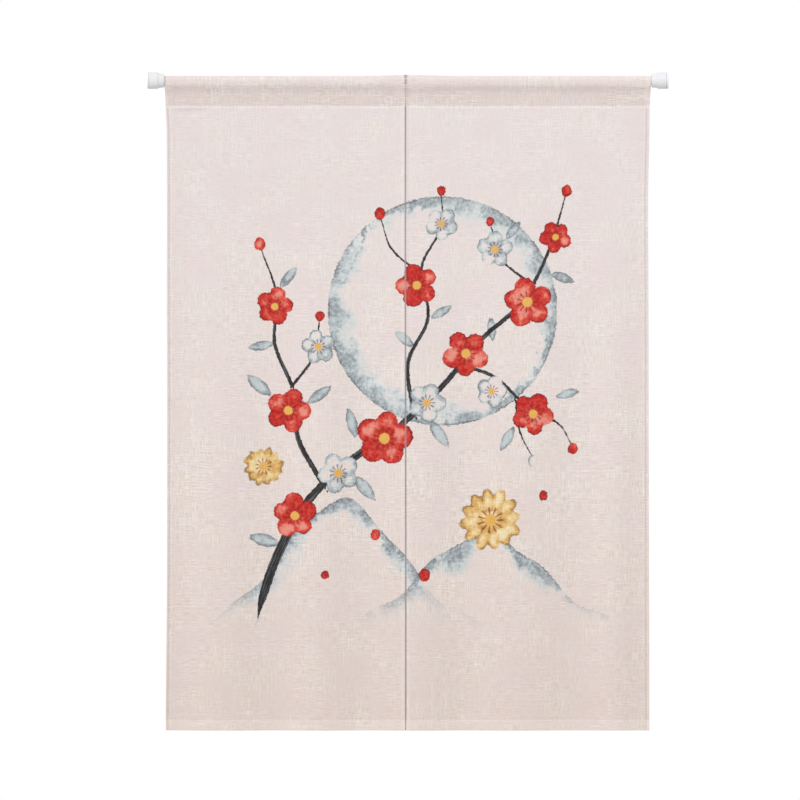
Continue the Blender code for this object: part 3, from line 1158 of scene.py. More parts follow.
    def artwork(
        self,
        tree: bpy.types.NodeTree,
        ground: bpy.types.NodeSocket,
        noises: tuple[bpy.types.NodeSocket, ...],
    ) -> bpy.types.NodeSocket:
        """Paints the motifs from the back to the front: moon, hills, leaves, brush strokes,
        white, red and gold petals, then the blossoms' hearts.

        Args:
            tree: The material's tree.
            ground: The bare cloth's colour.
            noises: What paint_noises returned.

        Returns:
            The painted colour.
        """
        depths = {}
        for name in ("washes", "petals", "foliage"):
            read = add_node(tree, "ShaderNodeAttribute", attribute_name=name)
            depths[name] = add_node(tree, "ShaderNodeSeparateXYZ", {0: read.outputs["Vector"]})
        place = add_node(tree, "ShaderNodeTexCoord").outputs["Object"]
        height = add_node(tree, "ShaderNodeSeparateXYZ", {0: place}).outputs["Z"]
        # The hills thin out to bare cloth towards their foot.
        drawn = add_node(
            tree, "ShaderNodeMath", {0: noises[1], 1: 0.16, 2: height}, operation="MULTIPLY_ADD"
        )
        mist = add_node(
            tree,
            "ShaderNodeMapRange",
            {"Value": drawn, "From Min": -0.900, "From Max": -0.800},
            interpolation_type="SMOOTHSTEP",
        )
        washes, petals = depths["washes"].outputs, depths["petals"].outputs
        leaves = depths["foliage"].outputs["X"]
        layers = (
            (washes["X"], self.moon, 1.0),
            (washes["Y"], self.hill, mist.outputs[0]),
            (washes["Z"], self.hill, mist.outputs[0]),
            (leaves, self.leaf, 1.0),
            None,
            (petals["Y"], self.white, 1.0),
            (petals["X"], self.red, 1.0),
            (petals["Z"], self.gold, 1.0),
        )
        colour = ground
        for layer in layers:
            if layer is None:
                colour = self.brush(tree, colour, noises)
            else:
                depth, wash, fade = layer
                colour = self.lay(tree, colour, depth, wash, noises, ground, fade)
        return self.hearts(tree, colour, noises)

    def brush(
        self,
        tree: bpy.types.NodeTree,
        under: bpy.types.NodeSocket,
        noises: tuple[bpy.types.NodeSocket, ...],
    ) -> bpy.types.NodeSocket:
        """Ink strokes with ragged edges and dry streaks that run along the brush's way.

        Args:
            tree: The material's tree.
            under: The colour so far.
            noises: What paint_noises returned.

        Returns:
            The colour with the strokes on it.
        """
        read = add_node(tree, "ShaderNodeAttribute", attribute_name="brush").outputs["Vector"]
        parts = add_node(tree, "ShaderNodeSeparateXYZ", {0: read}).outputs
        off = add_node(tree, "ShaderNodeMath", {0: parts["Y"]}, operation="ABSOLUTE")
        inside = add_node(tree, "ShaderNodeMath", {0: parts["Z"], 1: off}, operation="SUBTRACT")
        edge = add_node(
            tree, "ShaderNodeMath", {0: noises[3], 1: 0.55, 2: inside}, operation="MULTIPLY_ADD"
        )
        drawn = add_node(
            tree,
            "ShaderNodeMapRange",
            {"Value": edge, "From Min": -0.0006, "From Max": 0.0007},
            interpolation_type="SMOOTHSTEP",
        )
        real = add_node(
            tree, "ShaderNodeMath", {0: parts["Z"], 1: 0.0002}, operation="GREATER_THAN"
        )
        mask = add_node(tree, "ShaderNodeMath", {0: drawn, 1: real}, operation="MULTIPLY")
        streak_space = add_node(
            tree, "ShaderNodeMapping", {"Vector": read, "Scale": (24.0, 520.0, 0.0)}
        )
        streaks = add_node(
            tree,
            "ShaderNodeTexNoise",
            {"Vector": streak_space, "Scale": 1.0, "Detail": 3.0, "Roughness": 0.6},
            noise_dimensions="2D",
        )
        dry = add_node(
            tree,
            "ShaderNodeMapRange",
            {"Value": streaks.outputs[0], "From Min": 0.50, "From Max": 0.68, "To Max": 0.75},
        )
        ink = add_node(
            tree,
            "ShaderNodeMix",
            {0: dry, 6: hex_to_linear(self.ink), 7: hex_to_linear(self.dry_ink)},
            data_type="RGBA",
        )
        return add_node(
            tree, "ShaderNodeMix", {0: mask, 6: under, 7: ink.outputs[2]}, data_type="RGBA"
        ).outputs[2]

    def hearts(
        self,
        tree: bpy.types.NodeTree,
        under: bpy.types.NodeSocket,
        noises: tuple[bpy.types.NodeSocket, ...],
    ) -> bpy.types.NodeSocket:
        """A pollen disc in each blossom's middle, with a ring of fine stamens round it.

        Args:
            tree: The material's tree.
            under: The colour so far.
            noises: What paint_noises returned.

        Returns:
            The colour with the hearts on it.
        """
        read = add_node(tree, "ShaderNodeAttribute", attribute_name="heart").outputs["Vector"]
        parts = add_node(tree, "ShaderNodeSeparateXYZ", {0: read}).outputs
        flat = add_node(tree, "ShaderNodeVectorMath", {0: read, 1: (1, 1, 0)}, operation="MULTIPLY")
        away = add_node(tree, "ShaderNodeVectorMath", {0: flat}, operation="LENGTH").outputs["Value"]
        size = add_node(tree, "ShaderNodeMath", {0: parts["Z"], 1: 0.0001}, operation="MAXIMUM")
        share = add_node(tree, "ShaderNodeMath", {0: away, 1: size}, operation="DIVIDE")
        blurred = add_node(
            tree, "ShaderNodeMath", {0: noises[3], 1: 14.0, 2: share}, operation="MULTIPLY_ADD"
        )
        turn = add_node(
            tree, "ShaderNodeMath", {0: parts["Y"], 1: parts["X"]}, operation="ARCTAN2"
        )
        spun = add_node(tree, "ShaderNodeMath", {0: turn, 1: 11.0}, operation="MULTIPLY")
        spokes = add_node(tree, "ShaderNodeMath", {0: spun}, operation="COSINE")
        fine = add_node(
            tree, "ShaderNodeMapRange", {"Value": spokes, "From Min": 0.35, "From Max": 0.75}
        )
        within = add_node(
            tree,
            "ShaderNodeMapRange",
            {"Value": blurred, "From Min": 0.44, "From Max": 0.38},
        )
        real = add_node(
            tree, "ShaderNodeMath", {0: parts["Z"], 1: 0.001}, operation="GREATER_THAN"
        )
        ring = add_node(tree, "ShaderNodeMath", {0: fine, 1: within}, operation="MULTIPLY")
        stamens = add_node(tree, "ShaderNodeMath", {0: ring, 1: real}, operation="MULTIPLY")
        faint = add_node(tree, "ShaderNodeMath", {0: stamens, 1: 0.7}, operation="MULTIPLY")
        colour = add_node(
            tree,
            "ShaderNodeMix",
            {0: faint, 6: under, 7: hex_to_linear(self.stamen)},
            data_type="RGBA",
        )
        disc = add_node(
            tree, "ShaderNodeMapRange", {"Value": blurred, "From Min": 0.21, "From Max": 0.16}
        )
        held = add_node(tree, "ShaderNodeMath", {0: disc, 1: real}, operation="MULTIPLY")
        return add_node(
            tree,
            "ShaderNodeMix",
            {0: held, 6: colour.outputs[2], 7: hex_to_linear(self.pollen)},
            data_type="RGBA",
        ).outputs[2]


@dataclass(frozen=True)
class SpunThread:
    """Spun polyester sewing thread: matte, with the fine shadow lines of its plies."""

    name: str
    colour: str
    shadow: str
    ply_pitch: float = 0.0009  # about twice the real 0.4 mm, so that the plies show close to

    def make(self) -> bpy.types.Material:
        """Builds the material.

        Returns:
            The material.
        """
        material, tree, shader = new_material(self.name)
        place = add_node(tree, "ShaderNodeTexCoord").outputs["Object"]
        plies = add_node(
            tree,
            "ShaderNodeTexWave",
            {"Vector": place, "Scale": 0.314 / self.ply_pitch, "Distortion": 1.5, "Detail": 1.0},
            bands_direction="DIAGONAL",
        )
        colour = add_node(
            tree,
            "ShaderNodeMix",
            {0: plies.outputs[1], 6: hex_to_linear(self.shadow), 7: hex_to_linear(self.colour)},
            data_type="RGBA",
        )
        bump = add_node(
            tree,
            "ShaderNodeBump",
            {"Height": plies.outputs[1], "Strength": 0.3, "Distance": 0.0002},
        )
        tree.links.new(colour.outputs[2], shader.inputs["Base Color"])
        tree.links.new(bump.outputs[0], shader.inputs["Normal"])
        shader.inputs["Roughness"].default_value = 0.8
        shader.inputs["Sheen Weight"].default_value = 0.2
        return material


@dataclass(frozen=True)
class SmoothCoat:
    """A hard white or grey surface whose roughness and height vary very slightly: powder enamel
    has the ripple of its melted grains, moulded ABS a finer one from the tool, and rubber a dull
    bloom with specks of dust."""

    name: str
    colour: str
    tint: str  # where it has yellowed or holds dust
    roughness: float
    spread: float  # by how much the roughness varies
    ripple: float  # size of the ripple, in metres
    depth: float
    tint_share: float

    def make(self) -> bpy.types.Material:
        """Builds the material.

        Returns:
            The material.
        """
        material, tree, shader = new_material(self.name)
        place = add_node(tree, "ShaderNodeTexCoord").outputs["Object"]
        ripple = add_node(
            tree,
            "ShaderNodeTexNoise",
            {"Vector": place, "Scale": 1 / self.ripple, "Detail": 2.0, "Roughness": 0.5},
        ).outputs[0]
        stains = add_node(
            tree,
            "ShaderNodeTexNoise",
            {"Vector": place, "Scale": 90.0, "Detail": 6.0, "Roughness": 0.7},
        ).outputs[0]
        share = add_node(
            tree,
            "ShaderNodeMapRange",
            {"Value": stains, "From Min": 0.45, "From Max": 0.75, "To Max": self.tint_share},
        )
        colour = add_node(
            tree,
            "ShaderNodeMix",
            {0: share, 6: hex_to_linear(self.colour), 7: hex_to_linear(self.tint)},
            data_type="RGBA",
        )
        roughness = add_node(
            tree,
            "ShaderNodeMapRange",
            {
                "Value": stains,
                "From Min": 0.3,
                "From Max": 0.7,
                "To Min": self.roughness - self.spread,
                "To Max": self.roughness + self.spread,
            },
        )
        bump = add_node(
            tree,
            "ShaderNodeBump",
            {"Height": ripple, "Strength": 0.2, "Distance": self.depth},
        )
        tree.links.new(colour.outputs[2], shader.inputs["Base Color"])
        tree.links.new(roughness.outputs[0], shader.inputs["Roughness"])
        tree.links.new(bump.outputs[0], shader.inputs["Normal"])
        shader.inputs["IOR"].default_value = 1.5
        return material


# ---------------------------------------------------------------- the cloth pieces


@dataclass
class Panel:
    """One panel of cloth: a thin sheet with its hems, its half of the pocket and its print."""

    side: Side
    shape: ClothShape
    art: Artwork
    column_step: float = 0.0046
    row_step: float = 0.0062
    pocket_step: float = 0.0024
    edge_rounding: float = 0.0005
    hem_columns: tuple[float, ...] = (
        0.0, 0.0004, 0.0013, 0.0022, 0.0030, 0.0038, 0.0047, 0.0056, 0.0066, 0.0077, 0.0086,
        0.0100, 0.0125
    )  # fmt: skip
    hem_rows: tuple[float, ...] = (
        0.0, 0.0004, 0.0013, 0.0040, 0.0085, 0.0130, 0.0165, 0.0188, 0.0200, 0.0212, 0.0235, 0.0280
    )  # fmt: skip
    seam_rows: tuple[float, ...] = (0.0090, 0.0062, 0.0040, 0.0024, 0.0012, 0.0)

    @property
    def name(self) -> str:
        """The panel's node in the frame."""
        return "panel_" + self.side.name.lower()

    def columns(self) -> Array:
        """Where the columns of vertices lie across the panel, in metres from its left edge: close
        together at both hems, even between."""
        hem = np.array(self.hem_columns)
        width = self.shape.panel_width(self.side)
        count = round((width - 2 * hem[-1]) / self.column_step)
        middle = np.linspace(hem[-1], width - hem[-1], count + 1)[1:-1]
        return np.concatenate((hem, middle, width - hem[::-1]))

    def rows(self) -> Array:
        """Where the rows of vertices lie along the cloth, in metres from the bottom edge: close
        together at the bottom hem, the seam and round the rod, even between."""
        seam = self.shape.seam_at
        hem = np.array(self.hem_rows)
        below = seam - np.array(self.seam_rows)
        above = seam + np.array(self.seam_rows)[::-1][1:]
        count = round((below[0] - hem[-1]) / self.row_step)
        drop = np.linspace(hem[-1], below[0], count + 1)[1:-1]
        end = self.shape.strip_length()
        back = end - self.shape.tail - np.array(self.seam_rows)
        count = round((back[0] - above[-1]) / self.pocket_step)
        pocket = np.linspace(above[-1], back[0], count + 1)[1:-1]
        tail = end - np.array((0.0016, 0.0006, 0.0002, 0.0))
        return np.concatenate((hem, drop, below, above, pocket, back, tail))

    def middle(self, columns: Array, rows: Array) -> Array:
        """The cloth's mid-surface: across, a straight run between the two side edges; up, the
        section's own depth and height; and behind, the depth of the hang.

        Args:
            columns: Distances from the panel's left edge.
            rows: Lengths along the cloth from its bottom edge.

        Returns:
            Rows by columns by three.
        """
        points, run = self.shape.section()
        depth = np.interp(rows, run, points[:, 0])[:, None]
        z = np.interp(rows, run, points[:, 1])[:, None]
        outer = self.side.value * self.shape.outer_edge(z, self.side)
        inner = self.shape.slit_edge(self.side)
        left, right = (outer, inner) if self.side is Side.LEFT else (inner, outer)
        x = left + (right - left) * columns[None, :] / self.shape.panel_width(self.side)
        hanging = (rows <= self.shape.seam_at)[:, None]
        y = depth + np.where(hanging, self.shape.hang_depth(x, z), 0.0)
        y = y + self.pocket_ripple(x, rows[:, None])
        return np.stack((x, y, self.shape.lifted(x, z)), axis=-1)

    def pocket_ripple(self, x: Array, rows: Array) -> Array:
        """Faint upright wrinkles in the front of the pocket: sines along the rod of three uneven
        wavelengths, under half a sine from the seam up to where the cloth meets the rod."""
        up = np.clip((rows - self.shape.seam_at) / 0.040, 0.0, 1.0)
        waves = np.sin(x * 2 * np.pi / 0.053 + 0.6) + np.sin(x * 2 * np.pi / 0.081 + 2.1)
        waves = waves + np.sin(x * 2 * np.pi / 0.139)
        return 0.00028 * np.sin(np.pi * up) * waves

    def offsets(self, columns: Array, rows: Array) -> tuple[Array, Array]:
        """How far the two faces lie from the mid-surface: half the thickness, drawn in along the
        rows of stitches, more at the back of the hems, and rounded off at every edge.

        Args:
            columns: Distances from the panel's left edge.
            rows: Lengths along the cloth from its bottom edge.

        Returns:
            The front and the back offset, rows by columns.
        """
        shape = self.shape
        half = shape.thickness / 2
        width = shape.panel_width(self.side)
        outer = columns if self.side is Side.LEFT else width - columns
        from_side = np.minimum(columns, width - columns)[None, :]
        from_bottom = rows[:, None]
        from_tail = (rows[-1] - rows)[:, None]
        stitched = (
            bump_at((outer[None, :] - shape.stitch_line(self.side)) / shape.groove_width)
            * smooth_step((shape.seam_at - from_bottom) / 0.004)
            + bump_at((from_bottom - shape.bottom_hem) / shape.groove_width)
            + bump_at((from_bottom - shape.seam_at) / shape.groove_width)
        )
        stitched = np.minimum(stitched, 1.0)
        side_turn = 1 - smooth_step((from_side - shape.side_hem - 0.0002) / 0.0011)
        bottom_turn = 1 - smooth_step((from_bottom - shape.bottom_hem - 0.0002) / 0.0013)
        turned = np.maximum(side_turn, bottom_turn)
        lap_turn = 1 - smooth_step((from_tail - shape.tail - 0.0060) / 0.0016)
        rounding = np.ones_like(turned)
        for away in (from_side, from_bottom, from_tail):
            near = np.clip(1 - away / self.edge_rounding, 0.0, 1.0)
            rounding = rounding * np.sqrt(1 - 0.80 * near**2)
        puffed = 0.00012 * np.sin(np.pi * np.clip(from_side / shape.side_hem, 0, 1))
        puffed = puffed + 0.00016 * np.sin(np.pi * np.clip(from_bottom / shape.bottom_hem, 0, 1))
        front = half + puffed - shape.groove * stitched + 0.0005 * lap_turn
        back = half + shape.hem_extra * turned * (1 - lap_turn)
        return front * rounding, back * rounding

    def build(self, material: bpy.types.Material) -> bpy.types.Object:
        """Builds the panel's closed shell: each row is a ring through the front face, a rounded
        rim, the back face and the other rim, and the first and last rings are closed across.

        Args:
            material: The printed cloth.

        Returns:
            The panel's piece, with its attributes.
        """
        columns, rows = self.columns(), self.rows()
        middle = self.middle(columns, rows)
        across = np.gradient(middle, axis=1)
        along = np.gradient(middle, axis=0)
        normal = np.cross(across, along)
        normal /= np.linalg.norm(normal, axis=-1, keepdims=True)
        front_off, back_off = self.offsets(columns, rows)
        front = middle + normal * front_off[..., None]
        back = middle - normal * back_off[..., None]
        rim = np.array((self.edge_rounding * 0.5, 0.0, 0.0))
        right_rim = (front[:, -1:] + back[:, -1:]) / 2 + rim
        left_rim = (front[:, :1] + back[:, :1]) / 2 - rim
        ring = np.concatenate((front, right_rim, back[:, ::-1], left_rim), axis=1)

        count, size = len(columns), ring.shape[1]
        first = np.arange(len(rows) - 1)[:, None] * size
        here = np.arange(size)[None, :]
        beside = (here + 1) % size
        quads = np.stack(
            (first + here, first + beside, first + size + beside, first + size + here), axis=-1
        ).reshape(-1, 4)
        near = np.arange(count - 1)
        foot = np.stack((near, 2 * count - near, 2 * count - near - 1, near + 1), axis=-1)
        top = foot[:, ::-1] + (len(rows) - 1) * size
        ends = np.array(((size - 1, 2 * count, 0), (count, count - 1, count + 1)))
        triangles = np.concatenate((ends, ends[:, ::-1] + (len(rows) - 1) * size))
        quads = np.concatenate((quads, foot, top))
        points = ring.reshape(-1, 3)

        piece = make_piece(self.name + "_cloth", points, quads, triangles, material, 50)
        place_across = np.concatenate((columns, columns[-1:], columns[::-1], columns[:1]))
        if self.side is Side.RIGHT:
            place_across = place_across + self.shape.panel_width(Side.LEFT)
        faces = np.concatenate((np.ones(count), [0.5], np.zeros(count), [0.5]))
        weave = np.stack(
            np.broadcast_arrays(place_across[None, :], rows[:, None], faces[None, :]), axis=-1
        )
        add_attribute(piece, "weave", "POINT", weave.reshape(-1, 3))
        x, z = points[:, 0], points[:, 2]
        add_attribute(piece, "washes", "POINT", self.art.washes(x, z))
        add_attribute(piece, "petals", "POINT", self.art.petals(x, z))
        add_attribute(piece, "foliage", "POINT", self.art.foliage(x, z))
        corners = points[quads][..., [0, 2]]
        spare = np.zeros((triangles.size, 3))
        for name, places in (
            ("brush", self.art.brush_places(corners)),
            ("heart", self.art.heart_places(corners)),
        ):
            add_attribute(piece, name, "CORNER", np.concatenate((places.reshape(-1, 3), spare)))
        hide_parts(self.name)
        return piece

    def flat_size(self) -> tuple[float, float]:
        """Width and length of the cut cloth, with what the hems take up."""
        width = self.shape.panel_width(self.side) + 2 * self.shape.side_hem
        length = self.shape.strip_length() + self.shape.bottom_hem
        return width, length


@dataclass
class Stitches:
    """Rows of lockstitch on one panel, as short arched threads whose ends dive into the cloth."""

    panel: Panel
    pitch: float = 0.0054  # drawn at three pixels, where a real one is about 3 mm
    length: float = 0.0040
    radius: float = 0.00038
    sink: float = 0.00035  # how far the ends lie under the cloth's face
    pull: float = 0.0005
    rings: int = 6
    sides: int = 6

    def one(self) -> tuple[Array, NDArray[np.int64], NDArray[np.int64]]:
        """One stitch along its own first axis: a tube whose radius swells as a half ellipse and
        whose middle line arches as a parabola, closed at both ends by a point.

        Returns:
            Its points as (along, aside, off the cloth), its quads and its triangles.
        """
        t = np.linspace(-0.92, 0.92, self.rings)
        turn = np.linspace(0, 2 * np.pi, self.sides, endpoint=False)
        radius = self.radius * np.sqrt(1 - t**2)
        arch = -self.sink * t**2
        along = np.repeat(t * self.length / 2, self.sides).reshape(self.rings, -1)
        aside = radius[:, None] * np.cos(turn)
        off = arch[:, None] + radius[:, None] * np.sin(turn)
        tube = np.stack((along, aside, off), axis=-1).reshape(-1, 3)
        tips = np.array(((-self.length / 2, 0, -self.sink), (self.length / 2, 0, -self.sink)))
        first = np.arange(self.rings - 1)[:, None] * self.sides
        here = np.arange(self.sides)[None, :]
        beside = (here + 1) % self.sides
        quads = np.stack(
            (first + here, first + self.sides + here, first + self.sides + beside, first + beside),
            axis=-1,
        ).reshape(-1, 4)
        start = self.rings * self.sides
        last = (self.rings - 1) * self.sides
        low = np.stack((np.full(self.sides, start), here[0], beside[0]), axis=-1)
        high = np.stack((np.full(self.sides, start + 1), last + beside[0], last + here[0]), axis=-1)
        return np.vstack((tube, tips)), quads, np.vstack((low, high))

    def sew(
        self, name: str, spots: Array, along: Array, off: Array, material: bpy.types.Material
    ) -> bpy.types.Object:
        """Sets a copy of the stitch at each spot, turned to its row and to the cloth.

        Args:
            name: The piece's name.
            spots: Middle of each stitch.
            along: Direction of each stitch.
            off: Direction away from the cloth at each stitch.
            material: The thread.

        Returns:
            The piece that holds all the stitches.
        """
        along = along / np.linalg.norm(along, axis=1, keepdims=True)
        off = off - (off * along).sum(axis=1, keepdims=True) * along
        off = off / np.linalg.norm(off, axis=1, keepdims=True)
        aside = np.cross(off, along)
        points, quads, triangles = self.one()
        axes = np.stack((along, aside, off), axis=1)
        sizes = np.random.default_rng(len(spots)).uniform(0.75, 1.10, (len(spots), 1, 1))
        placed = spots[:, None] + (points * sizes) @ axes
        shift = (np.arange(len(spots)) * len(points))[:, None, None]
        piece = make_piece(
            name,
            placed.reshape(-1, 3),
            (quads[None] + shift).reshape(-1, 4),
            (triangles[None] + shift).reshape(-1, 3),
            material,
            80,
        )
        return piece

    def on_face(
        self, x: Array, z: Array, front: bool, lift: float | Array
    ) -> tuple[Array, Array]:
        """Where a stitch sits on the drop's front or back face.

        Args:
            x: Places along the rod.
            z: Their heights.
            front: Whether the stitch is on the front.
            lift: How far the face lies from the mid-surface.

        Returns:
            The spots, and the directions off the cloth, from the slope of the hang.
        """
        shape = self.panel.shape
        step = 0.0005
        depth = shape.hang_depth(x, z)
        slope_x = (shape.hang_depth(x + step, z) - shape.hang_depth(x - step, z)) / (2 * step)
        slope_z = (shape.hang_depth(x, z + step) - shape.hang_depth(x, z - step)) / (2 * step)
        sign = -1.0 if front else 1.0
        off = sign * np.column_stack((-slope_x, np.ones_like(x), -slope_z))
        return np.column_stack((x, depth + sign * lift, z)), off

    def spread(self, start: float, end: float) -> Array:
        """Even places for the stitches of one row, half a pitch in from both its ends."""
        count = int((end - start) / self.pitch)
        return start + (np.arange(count) + 0.5) * (end - start) / count

    def seam(self, material: bpy.types.Material) -> bpy.types.Object:
        """Sews the pocket's seam, on the front and on the back.

        Args:
            material: The thread.

        Returns:
            The piece that holds the row.
        """
        shape = self.panel.shape
        side = self.panel.side
        outer = side.value * float(shape.outer_edge(np.array(shape.seam_z), side))
        inner = shape.slit_edge(side)
        places = self.spread(min(outer, inner) + 0.001, max(outer, inner) - 0.001)
        z = np.full_like(places, shape.seam_z)
        face = shape.thickness / 2
        # In stretches the thread is pulled down into the cloth and hardly shows.
        pulled = self.pull * smooth_step(0.5 + np.sin(61 * places + 2 * np.sin(23 * places)))
        spots, off = self.on_face(places, z, True, face - pulled)
        behind, off_behind = self.on_face(places, z, False, shape.lap + face + 0.0004)
        along = np.tile((1.0, 0.0, 0.0), (2 * len(places), 1))
        return self.sew(
            "seam_thread_" + side.name.lower(),
            np.vstack((spots, behind)),
            along,
            np.vstack((off, off_behind)),
            material,
        )

    def side_hem(self, material: bpy.types.Material) -> bpy.types.Object:
        """Sews the outer side hem, on the front and on the back.

        Args:
            material: The thread.

        Returns:
            The piece that holds the row.
        """
        shape, side = self.panel.shape, self.panel.side
        z = self.spread(-shape.drop + shape.bottom_hem, shape.seam_z - 0.002)
        x = side.value * (shape.outer_edge(z, side) - shape.stitch_line(side))
        return self.hem("side_thread_", x, z, (0.0, 0.0, 1.0), material)

    def bottom_hem(self, material: bpy.types.Material) -> bpy.types.Object:
        """Sews the bottom hem, on the front and on the back.

        Args:
            material: The thread.

        Returns:
            The piece that holds the row.
        """
        shape, side = self.panel.shape, self.panel.side
        outer = side.value * float(shape.outer_edge(np.array(-shape.drop), side))
        ends = sorted((shape.slit_edge(side), outer))
        x = self.spread(ends[0] + 0.0006, ends[1] - 0.0006)
        z = np.full_like(x, -shape.drop + shape.bottom_hem)
        return self.hem("foot_thread_", x, z, (1.0, 0.0, 0.0), material)

    def hem(
        self,
        name: str,
        x: Array,
        z: Array,
        heading: tuple[float, float, float],
        material: bpy.types.Material,
    ) -> bpy.types.Object:
        """Sews one row through the drop's hem, with each stitch on the front and on the back.

        Args:
            name: Start of the piece's name.
            x: Places of the stitches along the rod.
            z: Their heights.
            heading: Direction of the row.
            material: The thread.

        Returns:
            The piece that holds the row.
        """
        shape = self.panel.shape
        spots, off = self.on_face(x, z, True, shape.thickness / 2 - 0.0001)
        behind, off_behind = self.on_face(x, z, False, shape.thickness / 2 + shape.hem_extra)
        return self.sew(
            name + self.panel.side.name.lower(),
            np.vstack((spots, behind)),
            np.tile(heading, (2 * len(x), 1)),
            np.vstack((off, off_behind)),
            material,
        )


@dataclass
class SlitBinding:
    """The overlocked edge of one panel at the slit, as a cord of thread round the cloth's edge."""

    panel: Panel
    half_width: float = 0.00075
    half_depth: float = 0.00105
    loop_pitch: float = 0.0024
    ring_step: float = 0.0008
    sides: int = 8

    def build(self, material: bpy.types.Material) -> bpy.types.Object:
        """Carries an ellipse along the panel's slit edge, from the bottom up and over the rod.
        Its size swells once for each loop of thread, as one plus a small cosine, and is less
        over the pocket, where the two panels are sewn together, and in the bottom hem. The slit
        sways a little, by the shape's bells.

        Args:
            material: The thread.

        Returns:
            The binding's piece.
        """
        shape, side = self.panel.shape, self.panel.side
        points, run = shape.section()
        end = shape.strip_length() - 0.0012
        rows = np.linspace(0.0006, end, round(end / self.ring_step))
        depth = np.interp(rows, run, points[:, 0])
        z = np.interp(rows, run, points[:, 1])
        held = 1 - 0.72 * smooth_step((rows - shape.seam_at) / 0.004)
        held = held * (0.70 + 0.30 * smooth_step(rows / 0.045))
        sway = sum(bow.out * bump_at((z - bow.centre) / bow.half_length) for bow in shape.slit_bows)
        x = shape.slit_x + sway + side.value * (self.half_width * held + 0.00005)
        depth = depth + np.where(rows <= shape.seam_at, shape.hang_depth(x, z), 0.0)
        depth = depth + self.panel.pocket_ripple(x, rows)
        heading = np.gradient(np.column_stack((depth, z)), axis=0)
        heading /= np.linalg.norm(heading, axis=1, keepdims=True)
        off = np.column_stack((np.zeros_like(z), -heading[:, 1], heading[:, 0]))
        turn = np.linspace(0, 2 * np.pi, self.sides, endpoint=False)
        swell = 0.90 + 0.10 * np.cos(rows * 2 * np.pi / self.loop_pitch)
        end_taper = np.sqrt(np.clip(np.minimum(rows, end - rows) / 0.0015 + 0.15, 0, 1))
        size = (swell * held * end_taper)[:, None]
        middle = np.column_stack((x, depth, shape.lifted(x, z)))
        aside = np.array((1.0, 0.0, 0.0))
        ring = (
            middle[:, None]
            + (size * np.cos(turn) * self.half_width)[..., None] * aside
            + (size * np.sin(turn) * self.half_depth)[..., None] * off[:, None]
        )
        count = len(rows)
        first = np.arange(count - 1)[:, None] * self.sides
        here = np.arange(self.sides)[None, :]
        beside = (here + 1) % self.sides
        quads = np.stack(
            (first + here, first + beside, first + self.sides + beside, first + self.sides + here),
            axis=-1,
        ).reshape(-1, 4)
        start = count * self.sides
        last = (count - 1) * self.sides
        low = np.stack((np.full(self.sides, start), beside[0], here[0]), axis=-1)
        high = np.stack((np.full(self.sides, start + 1), last + here[0], last + beside[0]), axis=-1)
        vertices = np.vstack((ring.reshape(-1, 3), middle[0], middle[-1]))
        name = "slit_binding_" + side.name.lower()
        piece = make_piece(name, vertices, quads, np.vstack((low, high)), material, 80)
        return piece


@dataclass
class SlitTacks:
    """The threads that join the two panels over the pocket: whip stitches down its front and
    back, a tack just under the seam, and longer, finer threads over the front of the rod."""

    panel: Panel
    whip_pitch: float = 0.0050
    tack_threads: int = 6
    tack_pitch: float = 0.00048
    crown_threads: int = 13
    crown_pitch: float = 0.0016

    def build(self, material: bpy.types.Material) -> list[bpy.types.Object]:
        """Sews both kinds.

        Args:
            material: The thread.

        Returns:
            The piece with the whip stitches and the tack, and the one with the long threads.
        """
        shape = self.panel.shape
        seam = shape.seam_at
        end = shape.strip_length() - shape.tail
        crown = (seam + end) / 2
        whips = np.arange(seam + 0.004, end - 0.002, self.whip_pitch)
        tack = (np.arange(self.tack_threads) - (self.tack_threads - 1) / 2) * self.tack_pitch
        short = np.concatenate((whips, seam - 0.0024 + tack))
        long = crown + 0.0012 - np.arange(self.crown_threads) * self.crown_pitch
        whip = Stitches(self.panel, length=0.0034, radius=0.00026, sink=0.0006)
        bar = Stitches(self.panel, length=0.0092, radius=0.00026, sink=0.0006)
        return [
            self.across("slit_tacks", whip, short, material),
            self.across("crown_tack", bar, long, material),
        ]

    def across(
        self, name: str, stitch: Stitches, rows: Array, material: bpy.types.Material
    ) -> bpy.types.Object:
        """Sets threads across the slit, along the pocket's section.

        Args:
            name: The piece's name.
            stitch: What each thread looks like.
            rows: Where they lie, in metres along the cloth from its bottom edge.
            material: The thread.

        Returns:
            The piece that holds them.
        """
        shape = self.panel.shape
        points, run = shape.section()
        depth = np.interp(rows, run, points[:, 0])
        z = np.interp(rows, run, points[:, 1])
        x = np.full_like(z, shape.slit_x)
        depth = depth + np.where(rows <= shape.seam_at, shape.hang_depth(x, z), 0.0)
        fine = np.linspace(0, run[-1], 4000)
        line = np.column_stack((np.interp(fine, run, points[:, 0]), np.interp(fine, run, points[:, 1])))
        heading = np.gradient(line, axis=0)
        heading /= np.linalg.norm(heading, axis=1, keepdims=True)
        at = np.searchsorted(fine, rows)
        off = np.column_stack((np.zeros_like(z), -heading[at, 1], heading[at, 0]))
        middle = np.column_stack((x, depth, shape.lifted(x, z)))
        spots = middle + off * (shape.thickness / 2 + 0.00045)
        along = np.tile((1.0, 0.0, 0.0), (len(rows), 1))
        return stitch.sew(name, spots, along, off, material)


# ---------------------------------------------------------------- the rod's ends


